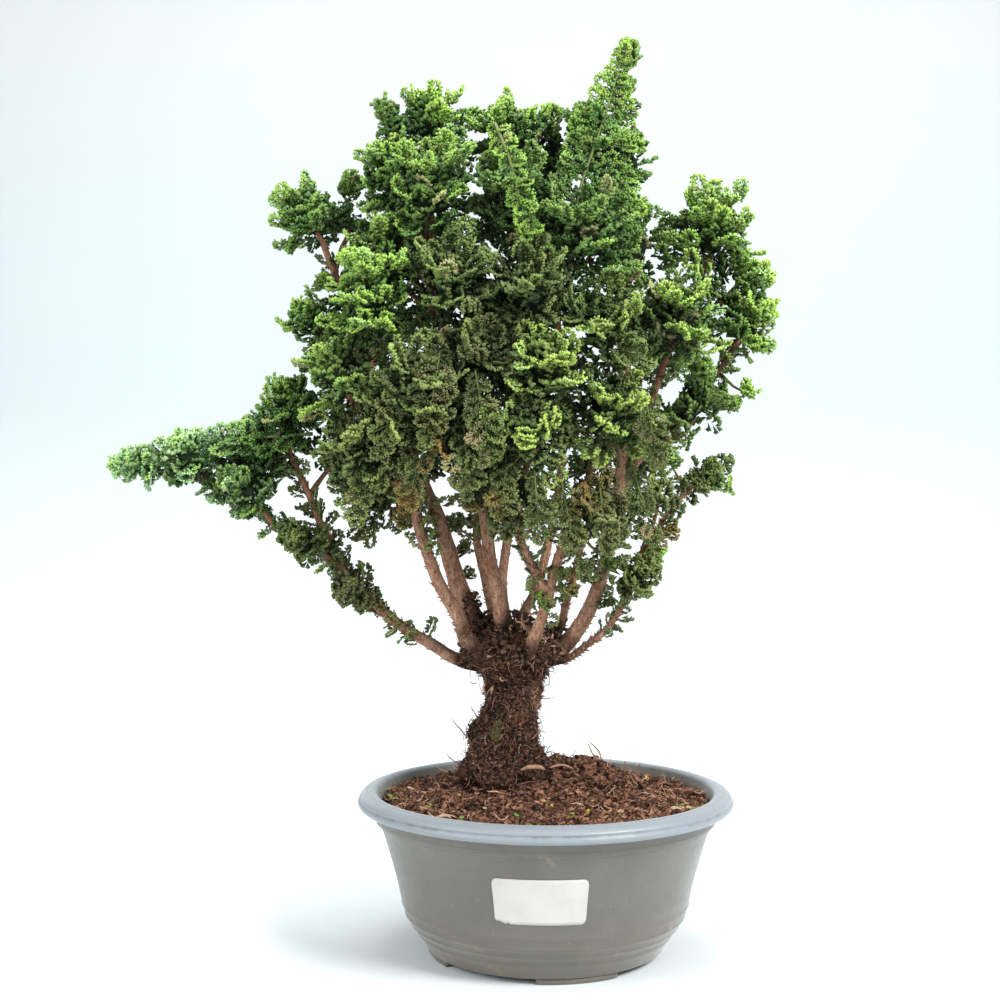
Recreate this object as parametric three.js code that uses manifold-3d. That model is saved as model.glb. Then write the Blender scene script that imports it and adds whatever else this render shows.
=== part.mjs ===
// A hinoki cypress bonsai in a round plastic pot. Millimetres, +Z up. The tree is laid out round the
// pot's axis, with the pot's feet on z = 0 and the pot's front towards -Y.
import * as THREE from 'three';
import { mergeVertices } from 'three/addons/utils/BufferGeometryUtils.js';
import Module from 'manifold-3d';

const wasm = await Module();
wasm.setup();

// ---- Driving dimensions -------------------------------------------------------------------------

const GAP = 0.3;                  // clearance between pieces that touch

const POT_SIDES = 28;
const POT_OUTSIDE = [             // radius, height, from the underside up to the crest of the lip
  [66, 3], [67.8, 6], [75.8, 17.8], [78.8, 23], [83.5, 42.5], [92.5, 72], [96.4, 76.5], [97, 81],
  [103.4, 81.4], [105, 83.8], [103.2, 87.6], [99.8, 89.4], [96, 90],
];
const POT_INSIDE = [              // radius, height, from the lip down to the floor
  [93.6, 88], [91.6, 80], [88.6, 68], [80.2, 46], [75.6, 30], [66, 8],
];
const POT_FLOOR = 7;
const FOOT_INNER = 58;
const FOOT_OUTER = 65.5;
const FOOT_HEIGHT = 3;
const FOOT_COUNT = 4;
const FOOT_HALF_ANGLE = THREE.MathUtils.degToRad(20);
const FOOT_TURN = THREE.MathUtils.degToRad(14);      // the front foot, turned from -Y towards +X
const DRAIN_RADIUS = 4.5;
const DRAIN_CIRCLE = 38;
const DRAIN_COUNT = 4;

const SOIL_SIDES = 21;
const SOIL_CIRCLES = [88.5, 70, 52, 36, 22];         // radii of the rings of points on its top
const SOIL_EDGE_HEIGHT = 85;
const SOIL_MOUND_HEIGHT = 16;     // how far the soil rises round the trunk
const SOIL_MOUND_WIDTH = 34;
const ROOT_RIDGE = { fromX: -12, toX: 62, fromY: -2, toY: 12, height: 20, width: 14 };  // a covered root

const LABEL_WIDTH = 48.3;
const LABEL_LOW = 36;
const LABEL_HIGH = 60.7;
const LABEL_THICKNESS = 0.6;
const LABEL_TURN = THREE.MathUtils.degToRad(-3.4);   // its middle, turned from -Y towards +X

const TRUNK_SIDES = 12;
const TRUNK_RINGS = [             // x, y, z, radius, from the foot in the soil up to the knob's top
  [-22, 2, 62, 14], [-22, 2, 84, 22], [-23, 1, 98, 27], [-23, 0, 107, 23.5], [-22.5, 0, 117, 21],
  [-22, 0, 128, 18.8], [-19.5, 0, 139, 16.2], [-18, 0, 149, 15.4], [-18.5, 0, 156, 20.5],
  [-19, 0, 163, 27], [-18, 0, 172, 26], [-17, 0, 181, 17],
];
const TRUNK_FLUTES = 0.09;        // depth of the lumps round the trunk, as a share of its radius

const LIMB_STEP = 28;             // from one ring of a limb to the next
const LIMB_PLACES = 60;           // the places along a limb where a twig can leave it
const LIMB_TAPER = 0.8;           // under 1, the limb thins faster near its start
const TWIG_RADIUS = 1.9;          // where a twig leaves its limb
const STEM_RADIUS = 1.3;          // where the twig meets the leafy stem
const TWIG_SET_BACK = 20;         // how far behind a bough's foot its twig leaves the limb
const TWIG_OVERLAP = 4;           // how far the twig at a limb's end reaches back into it
const ENDS_MEET = 5;              // a foot this near a limb's end sits on that end
const OWN_END = 14;               // the length of a limb's end that belongs to the bough on it

const FANS = 4;                   // in one tier of a bough
const CORNERS = 3;                // of a fan: the notch before it and the two ends of its edge
const EDGE_THICKNESS = 1;         // of a fan at its outer edge
const CORE_SHARE = 0.36;          // radius of the dense middle of a bough, as a share of its reach
const CORE_DROP = 0.4;            // of the way down to the tier below, where that middle is widest
const NOTCH_SHARE = 0.5;          // how far out the notch between two fans lies
const SHORTEST_FAN = 0.88;        // how far out its edge lies, on the shortest fan
const FAN_SPREAD = 0.26;          // and how much further on the longest
const CORNER_JITTER = 0.4;        // how unevenly the corners lie round the stem
const BARE_SHARE = 0.22;          // of the leafy stem, below the lowest tier
const LOWEST_LIFT = -0.05;        // how far the fans of the lowest and the highest tier rise
const HIGHEST_LIFT = 0.6;         // towards their tips, as a share of their length
const LIFT_BEND = 1.3;
const EDGE_WAVE = 0.24;           // how far an edge's ends lie above or below that, likewise
const NOTCH_DROP = 0.06;
const TIER_SHRINK = 0.28;         // how much smaller the highest tier is than the lowest
const GOLDEN_ANGLE = Math.PI * (3 - Math.sqrt(5));
const CENTRE_SHARE = 0.9;         // where the middle of a bough's space lies along its leafy stem
const CELL_GAP = 0.5;             // half the space kept between neighbouring boughs
const WOOD_GAP = 1.2;             // the space kept between a bough and wood that isn't its own
const TREE_LIMITS = { left: -243.5, right: 132, back: 120, front: -118, top: 511.5 };

// Limbs: route from the knob (x, y, z) and the radius at its start and end.
const LIMBS = {
  low_left: { from: 3.9, to: 1.4, sides: 6, route: [
    [-24, 0, 158], [-47, -5, 161.5], [-64, -8, 171.5], [-82, -12, 183], [-97, -15, 197],
    [-111, -18, 214], [-122, -20, 235], [-131, -20, 256], [-141, -18, 277], [-146, -17, 290]] },
  far_left: { from: 2.2, to: 1.1, sides: 5, route: [
    [-111, -18, 214], [-133, -22, 228], [-150, -22, 239], [-170, -21, 253], [-189, -20, 263],
    [-212, -18, 272.5]] },
  left_front: { from: 5, to: 1.5, sides: 6, route: [
    [-28, -8, 164], [-43.5, -18, 175], [-47, -23, 186], [-59, -31, 208], [-66.5, -38, 230],
    [-73, -44, 252], [-85, -48, 281], [-93, -48, 311], [-94, -47, 336]] },
  left_back: { from: 7.4, to: 1.6, sides: 6, route: [
    [-26, 0, 166], [-39, 2, 182], [-48, 8, 200.5], [-55, 12, 223], [-63, 16, 246], [-80, 14, 285],
    [-99, 6, 325], [-113, 2, 365], [-125, 0, 396]] },
  centre_left: { from: 5, to: 1.5, sides: 6, route: [
    [-20, -8, 165], [-23, -14, 174], [-26, -19, 197], [-31, -20, 219], [-33, -19, 241], [-36, -17, 262],
    [-44, -13, 290], [-54, -9, 325], [-62, -5, 373], [-71, -2, 418], [-83, -1, 461]] },
  back_left: { from: 3.2, to: 1.4, sides: 5, route: [
    [-24, 10, 166], [-30, 19, 190], [-35, 28, 211], [-39, 35, 228], [-40.5, 43, 254], [-54, 52, 300],
    [-68, 56, 350], [-68, 53, 392]] },
  back_centre: { from: 3.2, to: 1.4, sides: 5, route: [
    [-18, 12, 168], [-24, 22, 200], [-20, 37, 233], [-16, 49, 268], [-13, 58, 320], [-12, 61, 370],
    [-12, 57, 410]] },
  centre_right: { from: 3.2, to: 1.4, sides: 5, route: [
    [-14, 4, 168], [-13, 12, 183], [-3, 19, 204], [2, 23, 225], [8, 26, 252], [12, 28, 300],
    [8, 26, 360], [0, 20, 415], [-8, 12, 446]] },
  front_right: { from: 3.9, to: 1.5, sides: 6, route: [
    [-12, -14, 162], [-8, -28, 174], [-2, -38, 191], [6, -45, 221], [13, -49, 240], [21, -51, 262],
    [26, -51, 284]] },
  front_centre: { from: 2.3, to: 1.3, sides: 5, route: [
    [1, -40.5, 202], [-5, -43, 211], [-11, -47, 223], [-18, -53, 241], [-14, -58, 262], [-5, -61, 285],
    [-1, -62, 306]] },
  back_right: { from: 3, to: 1.4, sides: 5, route: [
    [-6, 6, 164], [8, 17, 176], [13, 25, 191], [20, 37, 214], [34, 48, 260], [48, 54, 304],
    [65, 56, 336]] },
  right: { from: 5.3, to: 1.6, sides: 6, route: [
    [-8, -2, 160], [8, -5, 168], [18, -5, 179], [26, -4, 193], [32, -2, 211], [36.5, 0, 227],
    [41, 2, 246], [50, 4, 273], [58, 5, 300], [70, 5, 335], [84, 5, 366], [93, 5, 389]] },
  spire: { from: 3.4, to: 1.3, sides: 5, route: [
    [41, 2, 246], [44, -4, 290], [45, -9, 340], [41, -11, 390], [38, -9, 430], [42, -7, 477]] },
  right_outer: { from: 3, to: 1.3, sides: 5, route: [
    [50, 4, 273], [72, -4, 296], [94, -9, 320], [106, -12, 338]] },
  low_right: { from: 2.2, to: 1.2, sides: 5, route: [
    [-8, -6, 160], [12, -10, 163.5], [23, -14, 171.5], [33, -18, 180], [39, -20, 189], [45, -22, 203],
    [52, -22, 221], [59, -20, 232], [70, -18, 248], [82, -16, 260]] },
};

// Leafy boughs: name, the limb that carries the twig, the foot and the tip of the leafy stem
// (x, y, z), how far its fans reach and how many tiers of them there are.
const BOUGHS = [
  ['left_tip', 'far_left', [-213, -18, 273], [-234, -16, 276], 13, 3],
  ['left_upper', 'far_left', [-190, -21, 268], [-197, -25, 279], 16, 2],
  ['left_under', 'far_left', [-158, -28, 250], [-166, -36, 259], 18, 2],
  ['left_saddle', 'far_left', [-161, -12, 259], [-166, -8, 276], 26, 3],
  ['left_low_fringe', 'low_left', [-126, -28, 226], [-134, -35, 231], 14, 2],
  ['left_lowest', 'low_left', [-100, -24, 200], [-107, -32, 203], 13, 2],
  ['left_shoulder', 'low_left', [-146, -16, 292], [-146, -16, 306], 21, 3],
  ['left_inner', 'low_left', [-120, -10, 270], [-111, -6, 287], 26, 2],
  ['left_knee', 'left_back', [-110, 12, 318], [-121, 18, 331], 22, 2],
  ['left_ledge', 'left_back', [-116, -2, 340], [-129, -6, 351], 22, 2],
  ['left_head', 'left_back', [-127, 0, 400], [-136, 1, 416], 24, 3],
  ['left_head_side', 'left_back', [-112, 8, 402], [-111, 10, 428], 14, 2],
  ['front_left_bright', 'left_front', [-95, -48, 340], [-93, -56, 365], 30, 3],
  ['front_left_mid', 'left_front', [-104, -50, 304], [-112, -50, 321], 26, 2],
  ['front_left_olive', 'left_front', [-90, -56, 268], [-98, -64, 280], 30, 2],
  ['front_left_inner', 'left_front', [-76, -62, 296], [-66, -76, 312], 32, 3],
  ['under_left', 'left_back', [-87, 0, 241], [-95, -8, 249], 29, 2],
  ['crown_left_spike', 'centre_left', [-83, -1, 463], [-86, -3, 476], 12, 3],
  ['crown_left_side', 'centre_left', [-78, -6, 416], [-86, -10, 436], 24, 3],
  ['crown_left_top', 'centre_left', [-62, 3, 446], [-64, 4, 468], 27, 3],
  ['crown_left_front', 'centre_left', [-62, -26, 402], [-62, -40, 424], 33, 3],
  ['shoulder_left', 'centre_left', [-80, -18, 370], [-89, -24, 388], 27, 3],
  ['centre_left_front', 'centre_left', [-52, -40, 352], [-50, -58, 370], 33, 3],
  ['centre_left_low', 'centre_left', [-46, -46, 272], [-44, -66, 280], 31, 3],
  ['centre_left_mid', 'centre_left', [-44, -40, 316], [-34, -66, 328], 32, 3],
  ['crown_back_left', 'back_left', [-68, 53, 394], [-75, 54, 411], 34, 3],
  ['back_left_mid', 'back_left', [-83, 58, 342], [-98, 60, 354], 36, 3],
  ['back_left_low', 'back_left', [-74, 64, 290], [-86, 70, 300], 35, 2],
  ['back_mid', 'back_centre', [-18, 73, 344], [-26, 82, 360], 37, 3],
  ['back_low', 'back_centre', [-22, 66, 280], [-27, 76, 289], 35, 2],
  ['crown_back', 'back_centre', [-12, 57, 412], [-15, 56, 430], 35, 3],
  ['crown_centre', 'centre_right', [-11, 11, 448], [-25, 5, 466], 29, 3],
  ['crown_centre_right', 'centre_right', [5, 12, 438], [8, 9, 457], 23, 2],
  ['crown_centre_front', 'centre_right', [-14, -22, 398], [-18, -38, 416], 34, 3],
  ['centre_front_upper', 'centre_right', [-8, -36, 350], [-12, -60, 366], 34, 3],
  ['front_bright_upper', 'front_centre', [-1, -63, 307], [-2, -76, 321], 27, 3],
  ['front_bright_lower', 'front_centre', [-6, -66, 280], [-10, -80, 288], 27, 2],
  ['front_low', 'front_centre', [-14, -60, 246], [-24, -68, 254], 24, 2],
  ['front_right_bright', 'front_right', [27, -52, 285], [31, -62, 300], 29, 3],
  ['front_right_low', 'front_right', [22, -58, 238], [26, -68, 246], 27, 2],
  ['spire_top', 'spire', [42.5, -7, 480], [46, -6, 503.5], 13, 3],
  ['spire_left', 'spire', [29, -13, 438], [23, -14, 458], 20, 2],
  ['spire_right', 'spire', [48, -6, 430], [48, -6, 449], 14, 2],
  ['spire_front', 'spire', [24, -34, 378], [19, -48, 398], 33, 3],
  ['spire_low', 'spire', [30, -40, 330], [28, -58, 344], 33, 3],
  ['spire_back', 'spire', [52, 10, 382], [60, 16, 401], 32, 2],
  ['right_top', 'right', [94, 6, 392], [95, 6, 418], 30, 3],
  ['right_upper', 'right', [98, 0, 362], [109, -2, 374], 26, 3],
  ['right_front', 'right', [70, -22, 338], [70, -34, 356], 33, 3],
  ['right_edge', 'right_outer', [107, -13, 340], [114, -14, 351], 19, 2],
  ['right_mid', 'right_outer', [74, -18, 281], [82, -22, 298], 26, 2],
  ['right_low', 'low_right', [83, -16, 261], [90, -16, 266], 10, 2],
  ['right_low_inner', 'low_right', [58, -26, 238], [61, -34, 250], 20, 2],
  ['right_lowest', 'low_right', [47, -26, 207], [53, -33, 214], 15, 2],
  ['back_right_mid', 'back_right', [66, 56, 338], [74, 59, 353], 37, 3],
  ['back_right_low', 'back_right', [48, 57, 270], [56, 63, 282], 36, 2],
];

// ---- Solids -------------------------------------------------------------------------------------

function solidFrom(geometry) {
  const bare = geometry.clone();
  bare.deleteAttribute('normal');
  bare.deleteAttribute('uv');
  const merged = mergeVertices(bare, 1e-4);
  return new wasm.Manifold(new wasm.Mesh({
    numProp: 3,
    vertProperties: Float32Array.from(merged.attributes.position.array),
    triVerts: Uint32Array.from(merged.index.array),
  }));
}

function meshOf(name, solid, material) {
  const { vertProperties, triVerts } = solid.getMesh();
  const geometry = new THREE.BufferGeometry();
  geometry.setAttribute('position', new THREE.BufferAttribute(vertProperties, 3));
  geometry.setIndex(new THREE.BufferAttribute(triVerts, 1));
  const mesh = new THREE.Mesh(geometry, material);
  mesh.name = name;
  return mesh;
}

function geometryFrom(points, triangles) {
  const geometry = new THREE.BufferGeometry().setFromPoints(points);
  geometry.setIndex(triangles);
  return geometry;
}

function joined(solids) {
  return solids.reduce((whole, solid) => whole.add(solid));
}

// Rings of equally many points, each running anticlockwise as seen from the last ring's side. The
// first ring is closed flat, and so is the last, or to a point in its middle where one is given.
function loft(rings, top) {
  const sides = rings[0].length;
  const triangles = [];
  for (let ring = 0; ring < rings.length - 1; ring++) {
    for (let side = 0; side < sides; side++) {
      const next = (side + 1) % sides;
      const low = ring * sides;
      const high = low + sides;
      triangles.push(low + side, low + next, high + side, low + next, high + next, high + side);
    }
  }
  const last = (rings.length - 1) * sides;
  const points = rings.flat();
  for (let side = 1; side < sides - 1; side++) {
    triangles.push(0, side + 1, side);
    if (!top) triangles.push(last, last + side, last + side + 1);
  }
  if (top) {
    const middle = points.push(top) - 1;
    for (let side = 0; side < sides; side++) {
      triangles.push(last + side, last + ((side + 1) % sides), middle);
    }
  }
  return solidFrom(geometryFrom(points, triangles));
}

function taperedTube(curve, steps, sides, radiusAt) {
  const frames = curve.computeFrenetFrames(steps, false);
  const rings = [];
  for (let step = 0; step <= steps; step++) {
    const centre = curve.getPointAt(step / steps);
    const radius = radiusAt(step / steps);
    const ring = [];
    for (let side = 0; side < sides; side++) {
      const angle = (2 * Math.PI * side) / sides;
      ring.push(centre.clone()
        .addScaledVector(frames.normals[step], radius * Math.cos(angle))
        .addScaledVector(frames.binormals[step], radius * Math.sin(angle)));
    }
    rings.push(ring);
  }
  return loft(rings);
}

// Two directions square to an axis and to each other, anticlockwise round it.
function squareTo(axis) {
  const side = new THREE.Vector3(axis.z, 0, -axis.x);
  if (side.length() < 0.3) side.set(0, -axis.z, axis.y);
  side.normalize();
  return [side, new THREE.Vector3().crossVectors(axis, side)];
}

// The same draws for the same seed.
function drawsFrom(seed) {
  let state = seed;
  return () => {
    state = (state * 16807) % 2147483647;
    return state / 2147483647;
  };
}

// ---- Pot ----------------------------------------------------------------------------------------

function potRadiusAt(height) {
  const above = POT_OUTSIDE.findIndex(([, z]) => z > height);
  const [lowRadius, low] = POT_OUTSIDE[above - 1];
  const [highRadius, high] = POT_OUTSIDE[above];
  return lowRadius + ((highRadius - lowRadius) * (height - low)) / (high - low);
}

function turned(profile, sides) {
  const points = profile.map(([radius, z]) => new THREE.Vector2(radius, z));
  return solidFrom(new THREE.LatheGeometry(points, sides).rotateX(Math.PI / 2));
}

function footShape() {
  const shape = new THREE.Shape();
  shape.absarc(0, 0, FOOT_OUTER, -FOOT_HALF_ANGLE, FOOT_HALF_ANGLE, false);
  shape.absarc(0, 0, FOOT_INNER, FOOT_HALF_ANGLE, -FOOT_HALF_ANGLE, true);
  return shape;
}

function potSolid() {
  const profile = [[0, FOOT_HEIGHT], ...POT_OUTSIDE, ...POT_INSIDE, [0, POT_FLOOR]];
  let pot = turned(profile, POT_SIDES);
  const overlap = 1;
  for (let foot = 0; foot < FOOT_COUNT; foot++) {
    const angle = FOOT_TURN + (foot * 2 * Math.PI) / FOOT_COUNT - Math.PI / 2;
    const block = new THREE.ExtrudeGeometry(footShape(), {
      depth: FOOT_HEIGHT + overlap, bevelEnabled: false, curveSegments: 4,
    });
    pot = pot.add(solidFrom(block.rotateZ(angle)));
  }
  for (let hole = 0; hole < DRAIN_COUNT; hole++) {
    const angle = FOOT_TURN + ((hole + 0.5) * 2 * Math.PI) / DRAIN_COUNT;
    const drill = new THREE.CylinderGeometry(DRAIN_RADIUS, DRAIN_RADIUS, 4 * POT_FLOOR, 10);
    drill.rotateX(Math.PI / 2);
    drill.translate(DRAIN_CIRCLE * Math.cos(angle), DRAIN_CIRCLE * Math.sin(angle), 0);
    pot = pot.subtract(solidFrom(drill));
  }
  return pot;
}

// ---- Label --------------------------------------------------------------------------------------

function labelSolid() {
  const columns = 8;
  const rows = 2;
  const halfAngle = LABEL_WIDTH / 2 / potRadiusAt((LABEL_LOW + LABEL_HIGH) / 2);
  const layer = (distance) => {
    const points = [];
    for (let row = 0; row <= rows; row++) {
      const z = LABEL_LOW + ((LABEL_HIGH - LABEL_LOW) * row) / rows;
      for (let column = 0; column <= columns; column++) {
        const angle = LABEL_TURN + halfAngle * ((2 * column) / columns - 1);
        const radius = potRadiusAt(z) + distance;
        points.push(new THREE.Vector3(radius * Math.sin(angle), -radius * Math.cos(angle), z));
      }
    }
    return points;
  };
  const inner = layer(2 * GAP);
  const outer = layer(2 * GAP + LABEL_THICKNESS);
  const count = inner.length;
  const at = (row, column) => row * (columns + 1) + column;
  const triangles = [];
  for (let row = 0; row < rows; row++) {
    for (let column = 0; column < columns; column++) {
      const [a, b] = [at(row, column), at(row, column + 1)];
      const [c, d] = [at(row + 1, column + 1), at(row + 1, column)];
      triangles.push(a, c, b, a, d, c);
      triangles.push(count + a, count + b, count + c, count + a, count + c, count + d);
    }
  }
  const border = [];
  for (let column = 0; column < columns; column++) border.push(at(0, column));
  for (let row = 0; row < rows; row++) border.push(at(row, columns));
  for (let column = columns; column > 0; column--) border.push(at(rows, column));
  for (let row = rows; row > 0; row--) border.push(at(row, 0));
  border.forEach((a, index) => {
    const b = border[(index + 1) % border.length];
    triangles.push(a, b, count + b, a, count + b, count + a);
  });
  return solidFrom(geometryFrom([...inner, ...outer], triangles));
}

// ---- Trunk, limbs and twigs ---------------------------------------------------------------------

function trunkSolid(extra) {
  return loft(TRUNK_RINGS.map(([x, y, z, radius], level) => {
    const ring = [];
    for (let side = 0; side < TRUNK_SIDES; side++) {
      const angle = (2 * Math.PI * side) / TRUNK_SIDES;
      const lumps = Math.sin(3 * angle + level) + Math.sin(5 * angle - 1.7 * level);
      const reach = radius * (1 + TRUNK_FLUTES * lumps) + extra;
      ring.push(new THREE.Vector3(x + reach * Math.cos(angle), y + reach * Math.sin(angle), z));
    }
    return ring;
  }));
}

function limbCurve(name) {
  const points = LIMBS[name].route.map((point) => new THREE.Vector3(...point));
  return new THREE.CatmullRomCurve3(points, false, 'catmullrom', 0.5);
}

function limbRadius({ from, to }, t) {
  return from + (to - from) * t ** LIMB_TAPER;
}

function limbSolid(name) {
  const limb = LIMBS[name];
  const curve = limbCurve(name);
  const steps = Math.round(curve.getLength() / LIMB_STEP);
  return taperedTube(curve, steps, limb.sides, (t) => limbRadius(limb, t));
}

function limbPlaces(name) {
  const curve = limbCurve(name);
  const places = [];
  for (let step = 0; step <= LIMB_PLACES; step++) {
    const t = step / LIMB_PLACES;
    places.push({ point: curve.getPoint(t), radius: limbRadius(LIMBS[name], t) });
  }
  return places;
}

// A twig leaves its limb where that comes nearest to a place behind the bough's foot. At the limb's
// end it carries on from there.
function twigStart({ limb, foot, axis, isLast }) {
  const places = limbPlaces(limb).map(({ point }) => point);
  if (isLast) return places.at(-1).addScaledVector(axis, -TWIG_OVERLAP);
  const behind = foot.clone().addScaledVector(axis, -TWIG_SET_BACK);
  return places.reduce((best, point) => (
    point.distanceTo(behind) < best.distanceTo(behind) ? point : best));
}

function twigSolid(bough) {
  const [side, across] = squareTo(bough.axis);
  const end = (centre, radius) => [0, 1, 2].map((corner) => centre.clone()
    .addScaledVector(side, radius * Math.cos((2 * Math.PI * corner) / 3))
    .addScaledVector(across, radius * Math.sin((2 * Math.PI * corner) / 3)));
  return loft([end(twigStart(bough), TWIG_RADIUS), end(bough.foot, STEM_RADIUS)]);
}

function woodSolid() {
  const limbs = Object.keys(LIMBS).map((name) => limbSolid(name));
  return joined([trunkSolid(0), ...limbs, ...boughs.map(twigSolid)]);
}

// Places down the middle of every limb and twig that a bough has to keep clear of, which leaves out
// its own twig and the end of the limb that it sits on.
function woodRound(bough) {
  const places = Object.keys(LIMBS).flatMap(limbPlaces);
  for (const other of boughs.filter((each) => each !== bough)) {
    const start = twigStart(other);
    for (let step = 0; step <= 4; step++) {
      places.push({ point: start.clone().lerp(other.foot, step / 4), radius: TWIG_RADIUS });
    }
  }
  return places.filter(({ point }) => !bough.isLast || point.distanceTo(bough.foot) > OWN_END);
}

// ---- Soil ---------------------------------------------------------------------------------------

function soilHeight(x, y) {
  const [trunkX, trunkY] = TRUNK_RINGS[2];
  const away = Math.hypot(x - trunkX, y - trunkY);
  const mound = SOIL_MOUND_HEIGHT * Math.exp(-((away / SOIL_MOUND_WIDTH) ** 2));
  const { fromX, toX, fromY, toY, height, width } = ROOT_RIDGE;
  const along = THREE.MathUtils.clamp((x - fromX) / (toX - fromX), 0, 1);
  const beside = y - THREE.MathUtils.lerp(fromY, toY, along);
  const ridge = height * Math.sin(Math.PI * along) * Math.exp(-((beside / width) ** 2));
  const crumbs = 0.9 * Math.sin(x / 6.1 + 1) * Math.cos(y / 7.3) + 0.6 * Math.sin((x + y) / 4.2);
  return SOIL_EDGE_HEIGHT + mound + ridge + crumbs;
}

function soilSolid() {
  const ringAt = (radius, height) => {
    const ring = [];
    for (let side = 0; side < SOIL_SIDES; side++) {
      const angle = (2 * Math.PI * side) / SOIL_SIDES;
      const x = radius * Math.cos(angle);
      const y = radius * Math.sin(angle);
      ring.push(new THREE.Vector3(x, y, height ?? soilHeight(x, y)));
    }
    return ring;
  };
  const flatShare = Math.cos(Math.PI / POT_SIDES);     // how far in the middle of a pot's flat side lies
  const wall = POT_INSIDE.slice(2).reverse()
    .map(([radius, z]) => ringAt((radius - 2 * GAP) * flatShare - GAP, z + GAP));
  return loft([...wall, ...SOIL_CIRCLES.map((radius) => ringAt(radius))]).subtract(trunkSolid(GAP));
}

// ---- Foliage ------------------------------------------------------------------------------------

const boughs = BOUGHS.map(([name, limb, foot, tip, reach, tiers], index) => {
  const footPoint = new THREE.Vector3(...foot);
  const stem = new THREE.Vector3(...tip).sub(footPoint);
  const length = stem.length();
  const axis = stem.normalize();
  const centre = footPoint.clone().addScaledVector(axis, CENTRE_SHARE * length);
  const limbEnd = new THREE.Vector3(...LIMBS[limb].route.at(-1));
  const isLast = footPoint.distanceTo(limbEnd) < ENDS_MEET;
  return { name, limb, isLast, foot: footPoint, axis, length, centre, reach, tiers, index };
});

// Each bough has the space that is nearer to it than to any other, weighted by its reach, clear of
// the wood and inside the tree's limits. It is a list of planes, each a normal and a distance.
function cellOf(bough) {
  const planes = [
    [new THREE.Vector3(-1, 0, 0), -TREE_LIMITS.left],
    [new THREE.Vector3(1, 0, 0), TREE_LIMITS.right],
    [new THREE.Vector3(0, 1, 0), TREE_LIMITS.back],
    [new THREE.Vector3(0, -1, 0), -TREE_LIMITS.front],
    [new THREE.Vector3(0, 0, 1), TREE_LIMITS.top],
  ];
  for (const other of boughs) {
    if (other !== bough) {
      const normal = other.centre.clone().sub(bough.centre);
      const between = normal.length();
      normal.divideScalar(between);
      const room = (between * bough.reach) / (bough.reach + other.reach);
      planes.push([normal, normal.dot(bough.centre) + room - CELL_GAP]);
    }
  }
  for (const { point, radius } of woodRound(bough)) {
    const along = THREE.MathUtils.clamp(
      point.clone().sub(bough.foot).dot(bough.axis), BARE_SHARE * bough.length, bough.length);
    const nearest = bough.foot.clone().addScaledVector(bough.axis, along);
    const normal = point.clone().sub(nearest);
    const between = normal.length();
    normal.divideScalar(between);
    if (between < 2 * bough.reach) {
      planes.push([normal, normal.dot(nearest) + between - radius - WOOD_GAP]);
    }
  }
  return planes;
}

// A point, drawn back towards the stem as far as it takes to lie inside the planes.
function drawnInside(point, centre, planes) {
  let share = 1;
  for (const [normal, distance] of planes) {
    const room = distance - normal.dot(centre);
    const needed = normal.dot(point) - normal.dot(centre);
    if (needed > room) share = Math.min(share, Math.max(0, room) / needed);
  }
  return centre.clone().lerp(point, share);
}

// The tiers of a bough, lowest first. A tier has a hub on the stem and, round it, the ends of its
// fans' edges and the notches between the fans. The corners of every tier start on the same side.
function tiersOf(bough) {
  const draw = drawsFrom(1000 + 97 * bough.index);
  draw();
  const [side, across] = squareTo(bough.axis);
  const tiers = [];
  for (let tier = 0; tier < bough.tiers; tier++) {
    const height = tier / (bough.tiers - 1);
    const along = bough.length * (BARE_SHARE + (1 - BARE_SHARE) * height);
    const hub = bough.foot.clone().addScaledVector(bough.axis, along);
    const turn = tier * GOLDEN_ANGLE + 2 * Math.PI * draw();
    const lift = LOWEST_LIFT + (HIGHEST_LIFT - LOWEST_LIFT) * height ** LIFT_BEND;
    const corners = [];
    for (let corner = 0; corner < FANS * CORNERS; corner++) {
      const isNotch = corner % CORNERS === 0;
      const uneven = CORNER_JITTER * (draw() - 0.5);
      const angle = turn + (2 * Math.PI * (corner + uneven)) / (FANS * CORNERS);
      const share = isNotch ? NOTCH_SHARE : SHORTEST_FAN + FAN_SPREAD * draw();
      const radius = bough.reach * (1 - TIER_SHRINK * height) * share;
      const rise = radius * (lift + (isNotch ? -NOTCH_DROP : EDGE_WAVE * (draw() - 0.3)));
      const out = side.clone().multiplyScalar(Math.cos(angle)).addScaledVector(across, Math.sin(angle));
      corners.push({ out, radius, rise });
    }
    const first = THREE.MathUtils.euclideanModulo(
      Math.round((-turn * corners.length) / (2 * Math.PI)), corners.length);
    tiers.push({ hub, corners: [...corners.slice(first), ...corners.slice(0, first)] });
  }
  return tiers;
}

function boughSolid(bough) {
  const planes = cellOf(bough);
  const tiers = tiersOf(bough);
  const core = CORE_SHARE * bough.reach;
  const half = EDGE_THICKNESS / 2;
  const below = (-CORE_DROP * bough.length) / bough.tiers;
  const ring = (tier, height, radiusOf, riseOf) => {
    const centre = tier.hub.clone().addScaledVector(bough.axis, height);
    return tier.corners.map((corner) => {
      const point = centre.clone()
        .addScaledVector(corner.out, radiusOf(corner))
        .addScaledVector(bough.axis, riseOf(corner));
      return drawnInside(point, centre, planes);
    });
  };
  const start = bough.foot.clone().addScaledVector(bough.axis, GAP);
  const rings = [tiers[0].corners.map(({ out }) => start.clone().addScaledVector(out, STEM_RADIUS))];
  for (const tier of tiers) {
    rings.push(ring(tier, below, () => core, () => 0));
    rings.push(ring(tier, -half, ({ radius }) => radius, ({ rise }) => rise));
    rings.push(ring(tier, half, ({ radius }) => radius, ({ rise }) => rise));
  }
  return loft(rings, tiers.at(-1).hub);
}

// ---- The whole ----------------------------------------------------------------------------------

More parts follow.
